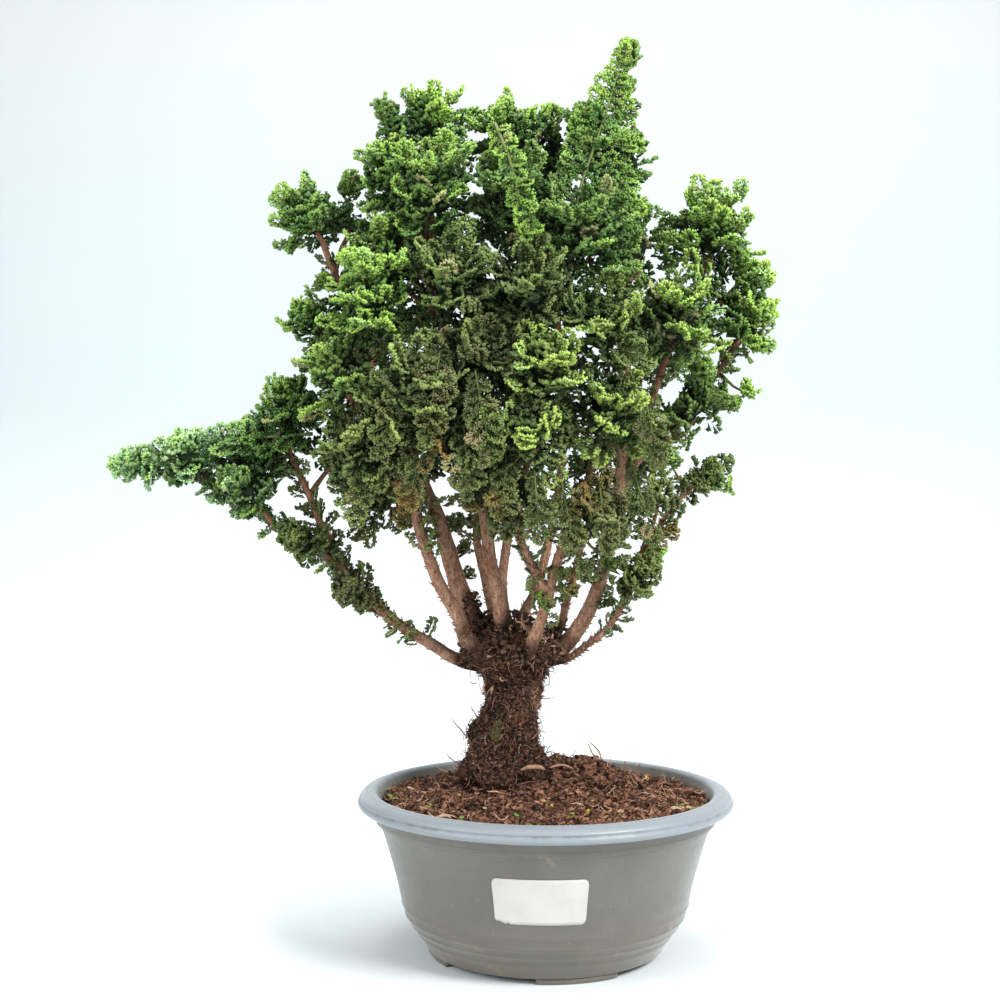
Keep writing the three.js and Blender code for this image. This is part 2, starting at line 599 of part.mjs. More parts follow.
const finishes = {
  pot: { color: 0x5d6a70, roughness: 0.55 },
  soil: { color: 0x2b1c14, roughness: 0.95 },
  wood: { color: 0x6e4a38, roughness: 0.85 },
  foliage: { color: 0x3d6b2c, roughness: 0.6 },
  label: { color: 0xf2f2ef, roughness: 0.6 },
};

function materialOf(finish) {
  return new THREE.MeshStandardMaterial({ ...finishes[finish], metalness: 0 });
}

const plant = new THREE.Group();
plant.add(meshOf('pot', potSolid(), materialOf('pot')));
plant.add(meshOf('label', labelSolid(), materialOf('label')));
plant.add(meshOf('soil', soilSolid(), materialOf('soil')));
plant.add(meshOf('wood', woodSolid(), materialOf('wood')));
for (const bough of boughs) {
  plant.add(meshOf(`foliage_${bough.name}`, boughSolid(bough), materialOf('foliage')));
}

// The origin is the middle of the whole object's footprint, at the feet.
const middle = new THREE.Box3().setFromObject(plant).getCenter(new THREE.Vector3());
plant.position.set(-middle.x, -middle.y, 0);

const bonsai = new THREE.Group();
bonsai.name = 'hinoki_cypress_bonsai';
bonsai.add(plant);

export default bonsai;
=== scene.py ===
"""The looks of a hinoki cypress bonsai in a round plastic pot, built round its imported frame.

Lengths are in millimetres round the pot's axis, with the pot's feet on z = 0 and its front towards
-Y. in_row() turns them into the row's metres. Directions and routes are those of the CAD model.
"""
import math

import bpy
import numpy as np
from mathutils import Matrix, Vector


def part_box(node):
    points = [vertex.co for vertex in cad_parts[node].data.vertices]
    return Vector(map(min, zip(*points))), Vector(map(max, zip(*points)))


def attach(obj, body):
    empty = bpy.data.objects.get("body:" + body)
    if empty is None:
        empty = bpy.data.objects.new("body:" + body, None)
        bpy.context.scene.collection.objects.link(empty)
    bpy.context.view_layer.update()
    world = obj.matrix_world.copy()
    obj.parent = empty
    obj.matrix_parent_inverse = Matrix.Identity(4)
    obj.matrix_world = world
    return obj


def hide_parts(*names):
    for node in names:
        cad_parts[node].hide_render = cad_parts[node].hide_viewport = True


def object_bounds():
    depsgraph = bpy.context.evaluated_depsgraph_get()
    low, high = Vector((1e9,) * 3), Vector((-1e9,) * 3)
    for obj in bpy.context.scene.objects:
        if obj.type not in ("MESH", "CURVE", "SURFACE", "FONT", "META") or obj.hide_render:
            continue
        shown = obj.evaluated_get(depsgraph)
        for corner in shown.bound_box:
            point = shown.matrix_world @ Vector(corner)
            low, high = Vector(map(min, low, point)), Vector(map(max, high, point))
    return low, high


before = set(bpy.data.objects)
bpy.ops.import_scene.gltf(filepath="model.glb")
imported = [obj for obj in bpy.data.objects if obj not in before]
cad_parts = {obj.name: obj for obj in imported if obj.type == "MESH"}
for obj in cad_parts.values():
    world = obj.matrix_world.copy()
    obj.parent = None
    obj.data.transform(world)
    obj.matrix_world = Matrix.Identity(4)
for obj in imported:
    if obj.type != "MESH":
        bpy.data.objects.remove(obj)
CAD_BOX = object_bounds()

MM = 0.001
POT_LOW, POT_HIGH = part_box("pot")
POT_AXIS = np.array([(POT_LOW.x + POT_HIGH.x) / 2, (POT_LOW.y + POT_HIGH.y) / 2, 0.0])


def in_row(points):
    return np.asarray(points, float) * MM + POT_AXIS


# ---- Driving values ------------------------------------------------------------------------------

# Radius and height of the pot's outside: its foot, its wall with the knee low down, and its lip,
# which overhangs a narrow ring. POT_INSIDE runs from the crest of the lip down to the floor.
POT_FOOT = [(0, 3), (62, 3), (65, 3), (66.4, 3.5), (67.0, 4.6)]
POT_WALL = [(67.8, 6), (72.2, 12.8), (75.8, 17.8), (78.6, 22.6), (80.4, 29), (83.6, 42.5), (87.7, 56.9),
            (91.3, 68.5)]
POT_LIP = [
    (92.9, 72.2), (93.3, 72.9), (95.0, 73.5), (95.3, 75.6), (95.2, 76.2), (96.2, 76.6), (96.6, 80.4),
    (97.4, 81.2), (102.6, 81.3), (103.8, 81.7), (104.7, 82.6), (105.0, 83.8), (104.7, 84.9),
    (103.9, 85.4), (103.7, 85.8), (104.1, 86.2), (103.9, 87.0), (103.0, 88.1), (101.2, 89.1),
    (99.6, 89.5), (99.2, 89.4), (98.8, 89.7), (97.2, 90), (95.4, 89.7),
]
POT_INSIDE = [(93.6, 88), (91.6, 80), (88.6, 68), (80.2, 46), (75.6, 30), (66, 8), (0, 7)]
POT_RIBS = (27.6, 21.8, 16.6, 11.2)
POT_RIB_HEIGHT = 0.55
POT_LIP_LOW, LIP_RADIUS = 81, 95
POT_GROOVES = (POT_LIP_LOW, 85.6, 76.3, 72.6)
LIP_INSIDE_HEIGHT, LIP_INSIDE_RADIUS = 88.5, 97
POT_SIDES = 144
FEET, FOOT_INNER, FOOT_OUTER, FOOT_HEIGHT = 4, 58, 65.5, 3
FOOT_TURN, FOOT_HALF_ANGLE = math.radians(14), math.radians(20)
DRAIN_RADIUS, DRAIN_CIRCLE = 4.5, 38

LABEL_WIDTH, LABEL_LOW, LABEL_HIGH, LABEL_TURN = 48.3, 36, 60.7, math.radians(-3.4)

SOIL_EDGE_HEIGHT, SOIL_MOUND_HEIGHT, SOIL_MOUND_WIDTH = 85, 16, 34
SOIL_WALL = [(64.5, 8.4), (74.5, 30), (79.2, 46), (87.6, 68), (90.4, 79)]
SOIL_SIDES, SOIL_CIRCLES, SOIL_RADIUS, EDGE_DROP, LITTER_RADIUS = 210, 76, 92.0, 1.2, 90.5
ROOT_RIDGE = dict(from_x=-12, to_x=62, from_y=-2, to_y=12, height=20, width=14)

SOIL_GRIT, SOIL_SLIVERS, SOIL_CHIPS, SOIL_GRAINS, SOIL_THREADS = 2100, 4200, 110, 16, 620
STONE, STONE_SIZE = (-55, -62), 3.2
LITTER_SEED, WOOD_SEED, FINE_SEED, PLAIN_SEED = 41, 7, 900, 960

# Seedlings: place, height and size of their leaves. Dead twigs: place, lean and height.
SEEDLINGS = [
    (-84, -20, 3.2, 3.6), (-45, -69, 3.0, 3.0), (-17, -77, 4.5, 3.0), (-8, -82, 2.2, 3.4),
    (38, -80, 3.0, 2.8), (54, -70, 2.6, 2.6), (71, -35, 3.0, 3.2), (-62, -38, 2.6, 2.6),
    (78, -50, 3.4, 2.8), (-30, 66, 3.2, 3.0), (40, 70, 3.4, 3.2), (12, -62, 2.4, 2.4),
]
DEAD_TWIGS = [(32, 6, 0.1, 15), (30, 8, -0.7, 12), (45, 8, 0.25, 9), (-72, 16, -0.3, 9)]

# Middle, height and radius of the trunk.
TRUNK_RINGS = np.array([
    [-22, 2, 62, 14], [-22, 2, 84, 22], [-23, 1, 98, 27], [-23, 0, 107, 22.5], [-22.2, 0, 117, 19.6],
    [-20.6, 0, 128, 17.4], [-17.9, 0, 139, 14.8], [-17.6, 0, 149, 14.8], [-18.5, 0, 156, 20.5],
    [-19, 0, 163, 27], [-18, 0, 172, 26], [-17, 0, 181, 17]], float)

TRUNK_SIDES, TRUNK_LEVELS = 116, 96
TRUNK_CRUMBS, KNOB_CRUMBS, TRUNK_SLIVERS, TRUNK_HAIRS = 1700, 520, 2600, 800
MOSS_CRUMBS, MOSS_ANGLE, MOSS_HEIGHT = 130, -1.95, 124
LIMB_TAPER, LIMB_PLACES, LIMB_SIDES, LIMB_STEP = 0.8, 60, 12, 2.6
KNOB, PEATY_REACH, PEATY_FADE = (-18, 0, 160), 46, 16   # peat covers the limbs' feet round the knob
TWIG_RADIUS, STEM_RADIUS, TWIG_SET_BACK, TWIG_OVERLAP, ENDS_MEET = 1.9, 1.3, 20, 4, 5

# Limbs: radius at the start and at the end, and the route.
LIMBS = {
    "low_left": (3.9, 1.4, [
        (-24, 0, 158), (-47, -5, 161.5), (-64, -8, 171.5), (-82, -12, 183), (-97, -15, 197),
        (-111, -18, 214), (-122, -20, 235), (-131, -20, 256), (-141, -18, 277), (-146, -17, 290)]),
    "far_left": (2.2, 1.1, [
        (-111, -18, 214), (-133, -22, 228), (-150, -22, 239), (-170, -21, 253), (-189, -20, 263),
        (-212, -18, 272.5)]),
    "left_front": (5, 1.5, [
        (-28, -8, 164), (-43.5, -18, 175), (-47, -23, 186), (-59, -31, 208), (-66.5, -38, 230),
        (-73, -44, 252), (-85, -48, 281), (-93, -48, 311), (-94, -47, 336)]),
    "left_back": (7.4, 1.6, [
        (-26, 0, 166), (-39, 2, 182), (-48, 8, 200.5), (-55, 12, 223), (-63, 16, 246), (-80, 14, 285),
        (-99, 6, 325), (-113, 2, 365), (-125, 0, 396)]),
    "centre_left": (5, 1.5, [
        (-20, -8, 165), (-23, -14, 174), (-26, -19, 197), (-31, -20, 219), (-33, -19, 241),
        (-36, -17, 262), (-44, -13, 290), (-54, -9, 325), (-62, -5, 373), (-71, -2, 418), (-83, -1, 461)]),
    "back_left": (3.2, 1.4, [
        (-24, 10, 166), (-30, 19, 190), (-35, 28, 211), (-39, 35, 228), (-40.5, 43, 254), (-54, 52, 300),
        (-68, 56, 350), (-68, 53, 392)]),
    "back_centre": (3.2, 1.4, [
        (-18, 12, 168), (-24, 22, 200), (-20, 37, 233), (-16, 49, 268), (-13, 58, 320), (-12, 61, 370),
        (-12, 57, 410)]),
    "centre_right": (3.2, 1.4, [
        (-14, 4, 168), (-13, 12, 183), (-3, 19, 204), (2, 23, 225), (8, 26, 252), (12, 28, 300),
        (8, 26, 360), (0, 20, 415), (-8, 12, 446)]),
    "front_right": (3.9, 1.5, [
        (-12, -14, 162), (-8, -28, 174), (-2, -38, 191), (6, -45, 221), (13, -49, 240), (21, -51, 262),
        (26, -51, 284)]),
    "front_centre": (2.3, 1.3, [
        (1, -40.5, 202), (-5, -43, 211), (-11, -47, 223), (-18, -53, 241), (-14, -58, 262),
        (-5, -61, 285), (-1, -62, 306)]),
    "back_right": (3, 1.4, [
        (-6, 6, 164), (8, 17, 176), (13, 25, 191), (20, 37, 214), (34, 48, 260), (48, 54, 304),
        (65, 56, 336)]),
    "right": (5.3, 1.6, [
        (-8, -2, 160), (8, -5, 168), (18, -5, 179), (26, -4, 193), (32, -2, 211), (36.5, 0, 227),
        (41, 2, 246), (50, 4, 273), (58, 5, 300), (70, 5, 335), (84, 5, 366), (93, 5, 389)]),
    "spire": (3.4, 1.3, [
        (41, 2, 246), (44, -4, 290), (45, -9, 340), (41, -11, 390), (38, -9, 430), (42, -7, 477)]),
    "right_outer": (3, 1.3, [
        (50, 4, 273), (72, -4, 296), (94, -9, 320), (106, -12, 338)]),
    "low_right": (2.2, 1.2, [
        (-8, -6, 160), (12, -10, 163.5), (23, -14, 171.5), (33, -18, 180), (39, -20, 189), (45, -22, 203),
        (52, -22, 221), (59, -20, 232), (70, -18, 248), (82, -16, 260)]),
}

# Leafy boughs: name, limb, foot and tip of the leafy stem, reach of the fans, tiers of fans.
BOUGHS = [
    ("left_tip", "far_left", (-213, -18, 270.5), (-232, -16, 271), 13, 3),
    ("left_upper", "far_left", (-190, -21, 268), (-197, -25, 279), 16, 2),
    ("left_under", "far_left", (-158, -28, 250), (-166, -36, 259), 18, 2),
    ("left_saddle", "far_left", (-161, -12, 259), (-166, -8, 276), 26, 3),
    ("left_low_fringe", "low_left", (-126, -28, 226), (-134, -35, 231), 14, 2),
    ("left_lowest", "low_left", (-100, -24, 200), (-107, -32, 203), 13, 2),
    ("left_shoulder", "low_left", (-143, -16, 292), (-143, -16, 305), 21, 3),
    ("left_inner", "low_left", (-120, -10, 270), (-111, -6, 287), 26, 2),
    ("left_knee", "left_back", (-110, 12, 318), (-121, 18, 331), 22, 2),
    ("left_ledge", "left_back", (-116, -2, 340), (-129, -6, 351), 22, 2),
    ("left_head", "left_back", (-127, 0, 400), (-136, 1, 416), 24, 3),
    ("left_head_side", "left_back", (-112, 8, 402), (-111, 10, 428), 14, 2),
    ("front_left_bright", "left_front", (-95, -48, 340), (-93, -56, 365), 30, 3),
    ("front_left_mid", "left_front", (-104, -50, 304), (-112, -50, 321), 26, 2),
    ("front_left_olive", "left_front", (-90, -56, 268), (-98, -64, 280), 30, 2),
    ("front_left_inner", "left_front", (-76, -62, 296), (-66, -76, 312), 32, 3),
    ("under_left", "left_back", (-87, 0, 247), (-94, -8, 256), 28, 2),
    ("crown_left_spike", "centre_left", (-83, -1, 459), (-88, -3, 468), 12, 3),
    ("crown_left_side", "centre_left", (-78, -6, 416), (-86, -10, 436), 24, 3),
    ("crown_left_top", "centre_left", (-62, 3, 446), (-64, 4, 468), 27, 3),
    ("crown_left_front", "centre_left", (-62, -26, 402), (-62, -40, 424), 33, 3),
    ("shoulder_left", "centre_left", (-80, -18, 370), (-89, -24, 388), 27, 3),
    ("centre_left_front", "centre_left", (-52, -40, 352), (-50, -58, 370), 33, 3),
    ("centre_left_low", "centre_left", (-46, -46, 272), (-44, -66, 280), 31, 3),
    ("centre_left_mid", "centre_left", (-44, -40, 316), (-34, -66, 328), 32, 3),
    ("crown_back_left", "back_left", (-68, 53, 394), (-75, 54, 411), 34, 3),
    ("back_left_mid", "back_left", (-83, 58, 342), (-98, 60, 354), 36, 3),
    ("back_left_low", "back_left", (-74, 64, 290), (-86, 70, 300), 35, 2),
    ("back_mid", "back_centre", (-18, 73, 344), (-26, 82, 360), 37, 3),
    ("back_low", "back_centre", (-22, 66, 280), (-27, 76, 289), 35, 2),
    ("crown_back", "back_centre", (-12, 57, 412), (-15, 56, 430), 35, 3),
    ("crown_centre", "centre_right", (-11, 11, 446), (-22, 5, 461), 29, 3),
    ("crown_centre_right", "centre_right", (5, 12, 438), (8, 9, 457), 23, 2),
    ("crown_centre_front", "centre_right", (-14, -22, 398), (-18, -38, 416), 34, 3),
    ("centre_front_upper", "centre_right", (-8, -36, 350), (-12, -60, 366), 34, 3),
    ("front_bright_upper", "front_centre", (-1, -63, 307), (-2, -76, 321), 27, 3),
    ("front_bright_lower", "front_centre", (-6, -66, 280), (-10, -80, 288), 27, 2),
    ("front_low", "front_centre", (-14, -60, 246), (-24, -68, 254), 24, 2),
    ("front_right_bright", "front_right", (27, -52, 285), (31, -62, 300), 29, 3),
    ("front_right_low", "front_right", (22, -58, 238), (26, -68, 246), 27, 2),
    ("spire_top", "spire", (42.5, -7, 480), (46, -6, 503.5), 13, 3),
    ("spire_left", "spire", (29, -13, 438), (23, -14, 458), 20, 2),
    ("spire_right", "spire", (48, -6, 430), (48, -6, 449), 14, 2),
    ("spire_front", "spire", (24, -34, 378), (19, -48, 398), 33, 3),
    ("spire_low", "spire", (30, -40, 330), (28, -58, 344), 33, 3),
    ("spire_back", "spire", (52, 10, 382), (60, 16, 401), 32, 2),
    ("right_top", "right", (94, 6, 389), (95, 6, 411), 31, 3),
    ("right_upper", "right", (98, 0, 362), (109, -2, 374), 26, 3),
    ("right_front", "right", (70, -22, 338), (70, -34, 356), 33, 3),
    ("right_edge", "right_outer", (107, -13, 340), (114, -14, 351), 19, 2),
    ("right_mid", "right_outer", (77, -16, 288), (85, -20, 304), 25, 2),
    ("right_low", "low_right", (83, -16, 261), (90, -16, 266), 10, 2),
    ("right_low_inner", "low_right", (58, -26, 238), (61, -34, 250), 20, 2),
    ("right_lowest", "low_right", (47, -26, 207), (53, -33, 214), 15, 2),
    ("back_right_mid", "back_right", (66, 56, 338), (74, 59, 353), 37, 3),
    ("back_right_low", "back_right", (48, 57, 270), (56, 63, 282), 36, 2),
]
FANS, CORNERS, NOTCH_SHARE, SHORTEST_FAN, FAN_SPREAD = 4, 3, 0.5, 0.88, 0.26
CORNER_JITTER, BARE_SHARE, LOWEST_LIFT, HIGHEST_LIFT, LIFT_BEND = 0.4, 0.22, -0.05, 0.6, 1.3
EDGE_WAVE, NOTCH_DROP, TIER_SHRINK = 0.24, 0.06, 0.28
GOLDEN_ANGLE = math.pi * (3 - math.sqrt(5))

# How fresh and how old a bough's foliage is, where it differs from the usual. The fresh value also
# sets the painted highlights on the bough's tips; where it is over 1, shaded leaves get them as well.
USUAL_LOOK = (0.62, 0.08)
LOOKS = {
    "left_tip": (3.4, 0.0), "left_upper": (2.2, 0.05), "left_under": (1.0, 0.25),
    "left_saddle": (1.4, 0.2), "left_low_fringe": (0.05, 0.6), "left_lowest": (0.0, 0.95),
    "left_inner": (0.25, 0.55), "front_left_bright": (1.5, 0.05), "front_left_mid": (0.75, 0.2),
    "front_left_olive": (0.25, 0.6), "front_left_inner": (0.35, 0.6), "under_left": (0.1, 0.85),
    "centre_left_mid": (0.15, 0.8), "centre_left_low": (0.15, 0.75), "centre_left_front": (0.2, 0.5),
    "centre_front_upper": (0.15, 0.55), "shoulder_left": (0.35, 0.25), "crown_centre_front": (0.25, 0.15),
    "crown_left_top": (1.2, 0.0), "crown_centre": (1.2, 0.0), "spire_left": (0.5, 0.05),
    "spire_front": (0.25, 0.15), "front_bright_upper": (1.7, 0.45),
    "front_bright_lower": (1.5, 0.5), "front_low": (0.15, 0.9), "front_right_bright": (1.5, 0.45),
    "front_right_low": (0.1, 0.9), "spire_low": (0.35, 0.45), "spire_top": (0.75, 0.05),
    "right_mid": (0.3, 0.3), "right_low": (0.3, 0.55), "right_low_inner": (0.2, 0.75),
    "right_lowest": (0.15, 0.7), "right_edge": (1.2, 0.1), "right_top": (1.1, 0.08),
    "right_upper": (1.0, 0.12), "right_front": (0.8, 0.2), "back_low": (0.2, 0.7),
    "back_left_low": (0.3, 0.6), "back_right_low": (0.3, 0.6), "crown_left_front": (0.7, 0.08),
}

# Boughs that end in a slender feather, whose other leaves keep close to the stem.
NARROWED = {"spire_top": 0.42, "crown_left_spike": 0.6, "left_tip": 0.75, "spire_right": 0.8,
            "left_under": 0.75, "left_upper": 0.85, "right_low": 0.8, "right_low_inner": 0.85,
            "left_low_fringe": 0.8, "left_lowest": 0.75, "right_lowest": 0.75, "left_head_side": 0.85}

FINGER_WIDTH, PLAIN_FINGER_WIDTH, SHELL_LENGTH = 1.8, 2.9, 10
SET_BACK, TOP_SHELLS = 8.5, 5     # of a shell's foot from its fan's edge; shells on a bough's tip
BRANCH_SPACING = 2.9              # between the side branches of a long feather
CORE_REACH = 0.42                 # of a bough's reach, the radius of its dense middle
CORE_WIDTH, CORE_LENGTH = 0.62, 0.7   # of that middle, what its dark core takes up
SHELL_AREA, INNER_AREA = 58, 60   # of a fan or of the middle's surface, for one shell
SHADE_CELL, SHADE_REACH = 9.0, 8  # the steps, and their number, in which the crown's shade is felt
HIDDEN = 0.32                     # shells that less light than this reaches on any way are plain

LEAF_MARGIN = 0.8                 # that shells keep from the sides of the solids' box
LEAF_BOX = [np.array(corner) / MM - POT_AXIS / MM + side * LEAF_MARGIN
            for corner, side in zip(CAD_BOX, (1, -1))]

# How thickly a limb is set with old stubs, where it differs from the usual.
STUBS = {"left_front": 2.6, "front_centre": 2.6, "centre_left": 1.6, "low_right": 1.8, "low_left": 1.6,
         "front_right": 1.6}

# Where old foliage has turned golden brown: x, z and how far it spreads.
RUSTY = [
    (-59, 277, 12), (14, 257, 14), (-76, 249, 12), (-31, 246, 10), (-90, 190, 13), (7, 207, 13),
    (-47, 230, 9), (-44, 212, 7), (-84, 201, 10), (62, 232, 9), (-104, 296, 7),
]

# Limbs that small old shells clothe: from and to (shares of the limb's length), the length of limb
# for one shell, their size, how fresh they look with painted highlights, and how old they look.
FRINGES = {
    "low_left": (0.24, 0.99, 2.2, 0.95, 0.2, 0.75), "far_left": (0.0, 0.97, 1.5, 0.85, 0.6, 0.25),
    "low_right": (0.3, 0.99, 2.2, 0.75, 0.2, 0.6), "right": (0.3, 0.97, 3.2, 0.9, 0.2, 0.6),
    "front_right": (0.3, 0.97, 3.0, 0.85, 0.1, 0.9), "front_centre": (0.1, 0.97, 2.6, 0.75, 0.1, 0.85),
    "left_front": (0.45, 0.97, 3.0, 1.0, 0.1, 0.8), "left_back": (0.42, 0.97, 3.4, 1.1, 0.1, 0.7),
    "centre_left": (0.42, 0.97, 3.6, 1.2, 0.1, 0.75), "spire": (0.08, 0.98, 3.2, 1.1, 0.25, 0.4),
    "right_outer": (0.1, 0.97, 3.0, 1.0, 0.15, 0.5), "back_left": (0.42, 0.97, 4.0, 1.2, 0.1, 0.7),
    "back_centre": (0.42, 0.97, 4.0, 1.2, 0.1, 0.7), "centre_right": (0.42, 0.97, 4.0, 1.2, 0.1, 0.7),
    "back_right": (0.42, 0.97, 4.0, 1.2, 0.1, 0.7),
}

# Long feathers: the route of the stem, the side that the face looks to, the reach to the left and
# to the right of the stem at even steps along it, how far the branches hang, and the foliage's look.
FRONDS = {
    "spire": dict(
        route=[(9, -42, 345), (12, -40, 381), (17, -34, 416), (28, -25, 450), (37, -16, 478), (44, -10, 503)],
        facing=(0.1, -1, 0.15), left=[10, 12, 14, 16, 8, 3], right=[30, 34, 32, 20, 8, 2], droop=0.45,
        fresh=(0.4, 0.9), old=0.05),
    "left_tip": dict(
        route=[(-128, -22, 288), (-168, -22, 285), (-202, -20, 280), (-234, -18, 273)],
        facing=(0.05, -0.8, 0.6), left=[10, 13, 12, 7], right=[9, 11, 10, 6], droop=0.1,
        fresh=(0.9, 2.4), old=0.05),
    "crown_front": dict(
        route=[(-28, -34, 455), (-21, -50, 434), (-15, -60, 410), (-9, -64, 390)],
        facing=(0, -1, 0.3), left=[6, 9, 8, 5], right=[6, 9, 8, 5], droop=0.2, fresh=(0.9, 1.0), old=0.0),
    "crown_spike": dict(
        route=[(-80, -6, 440), (-87, -6, 456), (-93, -6, 475)],
        facing=(0, -1, 0.1), left=[6, 5, 2], right=[7, 6, 2], droop=0.0, fresh=(0.6, 0.9), old=0.0),
}

# Loose roots that stand clear of the trunk: start, heading, length and radius.
HAIR_ROOTS = [
    ((-33, -8, 142), (-0.7, -0.1, 0.7), 20, 0.22), ((-37, -6, 128), (-0.5, -0.1, 1.2), 13, 0.34),
    ((-44, -6, 118), (-0.3, -0.2, 1.0), 15, 0.5), ((-40, -4, 112), (-0.7, -0.2, 0.8), 14, 0.45),
    ((-2, -4, 122), (0.25, -0.1, 1.0), 12, 0.16), ((-50, -4, 104), (-0.5, -0.1, 0.6), 10, 0.4),
    ((-38, -8, 150), (-0.5, -0.2, -0.3), 9, 0.3), ((-24, 17, 132), (-0.3, 0.9, 0.4), 14, 0.3),
    ((-36, -5, 124), (-0.7, -0.2, 0.8), 11, 0.3),
]

# Bare pieces of root at the trunk's foot: route and radius.
BARE_ROOTS = [([(-14, -26.5, 104.5), (-9, -28, 106.2), (-4, -26.5, 106), (-1, -23, 104)], 1.4),
              ([(2, -12, 103), (9, -9, 104), (15, -8, 102)], 0.8)]

# Peat that the limbs' feet hold, and pale bits of torn bark: middle, spread, number.
PEAT_CLUMPS = [
    ((-40, -2, 180), (5, 4, 6), 120), ((-41, 0, 191), (2.6, 3, 5), 60), ((-14, -2, 180), (7, 6, 5), 130),
    ((2, 2, 174), (6, 5, 5), 90), ((-26, 10, 178), (7, 5, 6), 90), ((-30, -12, 172), (6, 4, 5), 60),
]
BARK_CURLS = [
    ((-14, -22, 182), (3, 3, 3), 9), ((-2, -24, 176), (3, 3, 2.5), 9), ((-12, -20, 187), (2, 2, 3), 6),
    ((-30, -22, 158), (6, 3, 6), 6),
]

# Short feathers of old foliage that hang down the front: where each starts, how far it leans to the
# right and hangs down, and its reach to either side.
DRAPES = [
    ((-74, -80, 312), -12, 38, 9), ((-56, -84, 322), -6, 42, 11), ((-38, -86, 312), 8, 40, 10),
    ((-62, -80, 282), -10, 34, 10), ((-44, -84, 284), 4, 28, 11), ((-22, -82, 272), -2, 28, 9),
    ((6, -82, 256), 6, 28, 9), ((26, -82, 252), 2, 26, 9), ((44, -72, 262), 9, 32, 10),
    ((50, -72, 300), 5, 30, 9), ((-90, -70, 268), -10, 28, 9), ((-8, -86, 262), 3, 30, 8),
]

# Small clumps that sit on the limbs: place, number of shells, their size, how fresh with painted
# highlights, and how old.
TUFTS = [
    ((-50, 16, 236), 10, 0.8, 0.0, 1.0), ((-46, 20, 222), 8, 0.75, 0.0, 1.0),
    ((-44, 18, 208), 6, 0.65, 0.0, 1.0), ((-2, -44, 196), 6, 0.7, 0.4, 0.1),
    ((38, -50, 236), 8, 0.8, 0.7, 0.2), ((36, -8, 214), 9, 0.8, 0.6, 0.3),
    ((60, -26, 219), 9, 0.9, 1.4, 0.0), ((8, -46, 209), 9, 0.75, 0.1, 0.9),
    ((13, -46, 201), 7, 0.7, 0.1, 0.9), ((23, -12, 207), 8, 0.75, 0.2, 0.8),
    ((34, -10, 194), 6, 0.7, 0.2, 0.7), ((44, -24, 201), 7, 0.7, 0.5, 0.6),
    ((68, -22, 272), 10, 0.9, 0.6, 0.3), ((17, -54, 267), 10, 0.9, 0.4, 0.5),
    ((-124, -8, 372), 8, 0.8, 0.7, 0.1), ((-97, -14, 192), 8, 0.8, 0.1, 0.9),
    ((112, -14, 310), 8, 0.9, 1.0, 0.1), ((104, -14, 302), 7, 0.9, 0.8, 0.1),
    ((101, -18, 258), 6, 0.7, 0.8, 0.2), ((94, -18, 260), 6, 0.7, 0.6, 0.2),
    ((-32, 22, 244), 10, 0.9, 0.1, 0.9), ((-36, 26, 234), 8, 0.9, 0.1, 0.9),
    ((-40, 30, 250), 8, 0.9, 0.2, 0.8), ((30, -54, 222), 6, 0.7, 0.2, 0.8),
    ((62, -2, 330), 10, 1.0, 0.5, 0.3), ((85, -30, 320), 9, 1.0, 0.8, 0.1),
]

# The main openings where daylight shows between the boughs, chosen on the photo: across,
# height and reach, as seen from the front at the pot's axis. Shells and cores keep a margin from them.
OPENINGS = [
    (-105, 417, 5), (10, 472, 6), (10, 458, 4),                       # between the heads of the crown
    (60, 403, 5), (59, 389, 5), (62, 377, 4), (18, 346, 4), (31, 383, 3),  # beside the spire
    (98, 282, 7), (90, 291, 5), (70, 253, 4), (105, 374, 4),          # right side
    (-146, 256, 5), (-127, 262, 6), (-120, 251, 4), (-56, 262, 5),    # left side, over the low limb
    (26, 224, 5), (54, 227, 5), (64, 240, 5), (50, 239, 4),           # over the low right limb
]

SHELL_MARGIN, CORE_MARGIN = 1.8, 4

# The camera stands level, off the pot's axis by this much, and looks along +Y.
CAMERA_PLACE = (-25.3, -815.7, 251.7)
CAMERA_LENS, CAMERA_SENSOR = 52.1, 36.0
LIT_PLACE = (-25, 0, 260)


# ---- Arithmetic ----------------------------------------------------------------------------------

def unit(vectors):
    vectors = np.asarray(vectors, float)
    return vectors / np.maximum(np.linalg.norm(vectors, axis=-1, keepdims=True), 1e-12)


def square_to(axis):
    """Two directions square to an axis and to each other, anticlockwise round it."""
    side = np.array([axis[2], 0, -axis[0]])
    if np.linalg.norm(side) < 0.3:
        side = np.array([0, -axis[2], axis[1]])
    side = unit(side)
    return side, np.cross(axis, side)


def round_axis(axis, turn):
    """A direction square to an axis, turned round it."""
    side, across = square_to(axis)
    return side * math.cos(turn) + across * math.sin(turn)


def draws_from(seed):
    """The same draws for the same seed, as the CAD model has them."""
    state = seed
    while True:
        state = (state * 16807) % 2147483647
        yield state / 2147483647


def lattice(cells, seed):
    """A fixed draw from -1 to 1 for every whole-numbered cell."""
    x, y, z = (cells[..., k].astype(np.int64) for k in range(3))
    mixed = (x * 73856093) ^ (y * 19349663) ^ (z * 83492791) ^ (seed * 2654435761)
    mixed = (mixed ^ (mixed >> 13)) * 1274126177 & 0xFFFFFFFF
    mixed = (mixed ^ (mixed >> 16)) * 2246822519 & 0xFFFFFFFF
    return ((mixed >> 8) & 0xFFFF) / 32767.5 - 1


def noise(points, size, seed=0):
    """Smooth noise from -1 to 1 whose lumps are about size across."""
    scaled = np.asarray(points, float) / size
    cell = np.floor(scaled)
    share = scaled - cell
    share = share * share * (3 - 2 * share)
    total = np.zeros(scaled.shape[:-1])
    for corner in range(8):
        step = np.array([corner & 1, corner >> 1 & 1, corner >> 2 & 1])
        weight = np.prod(np.where(step, share, 1 - share), axis=-1)
        total += weight * lattice(cell + step, seed)
    return total


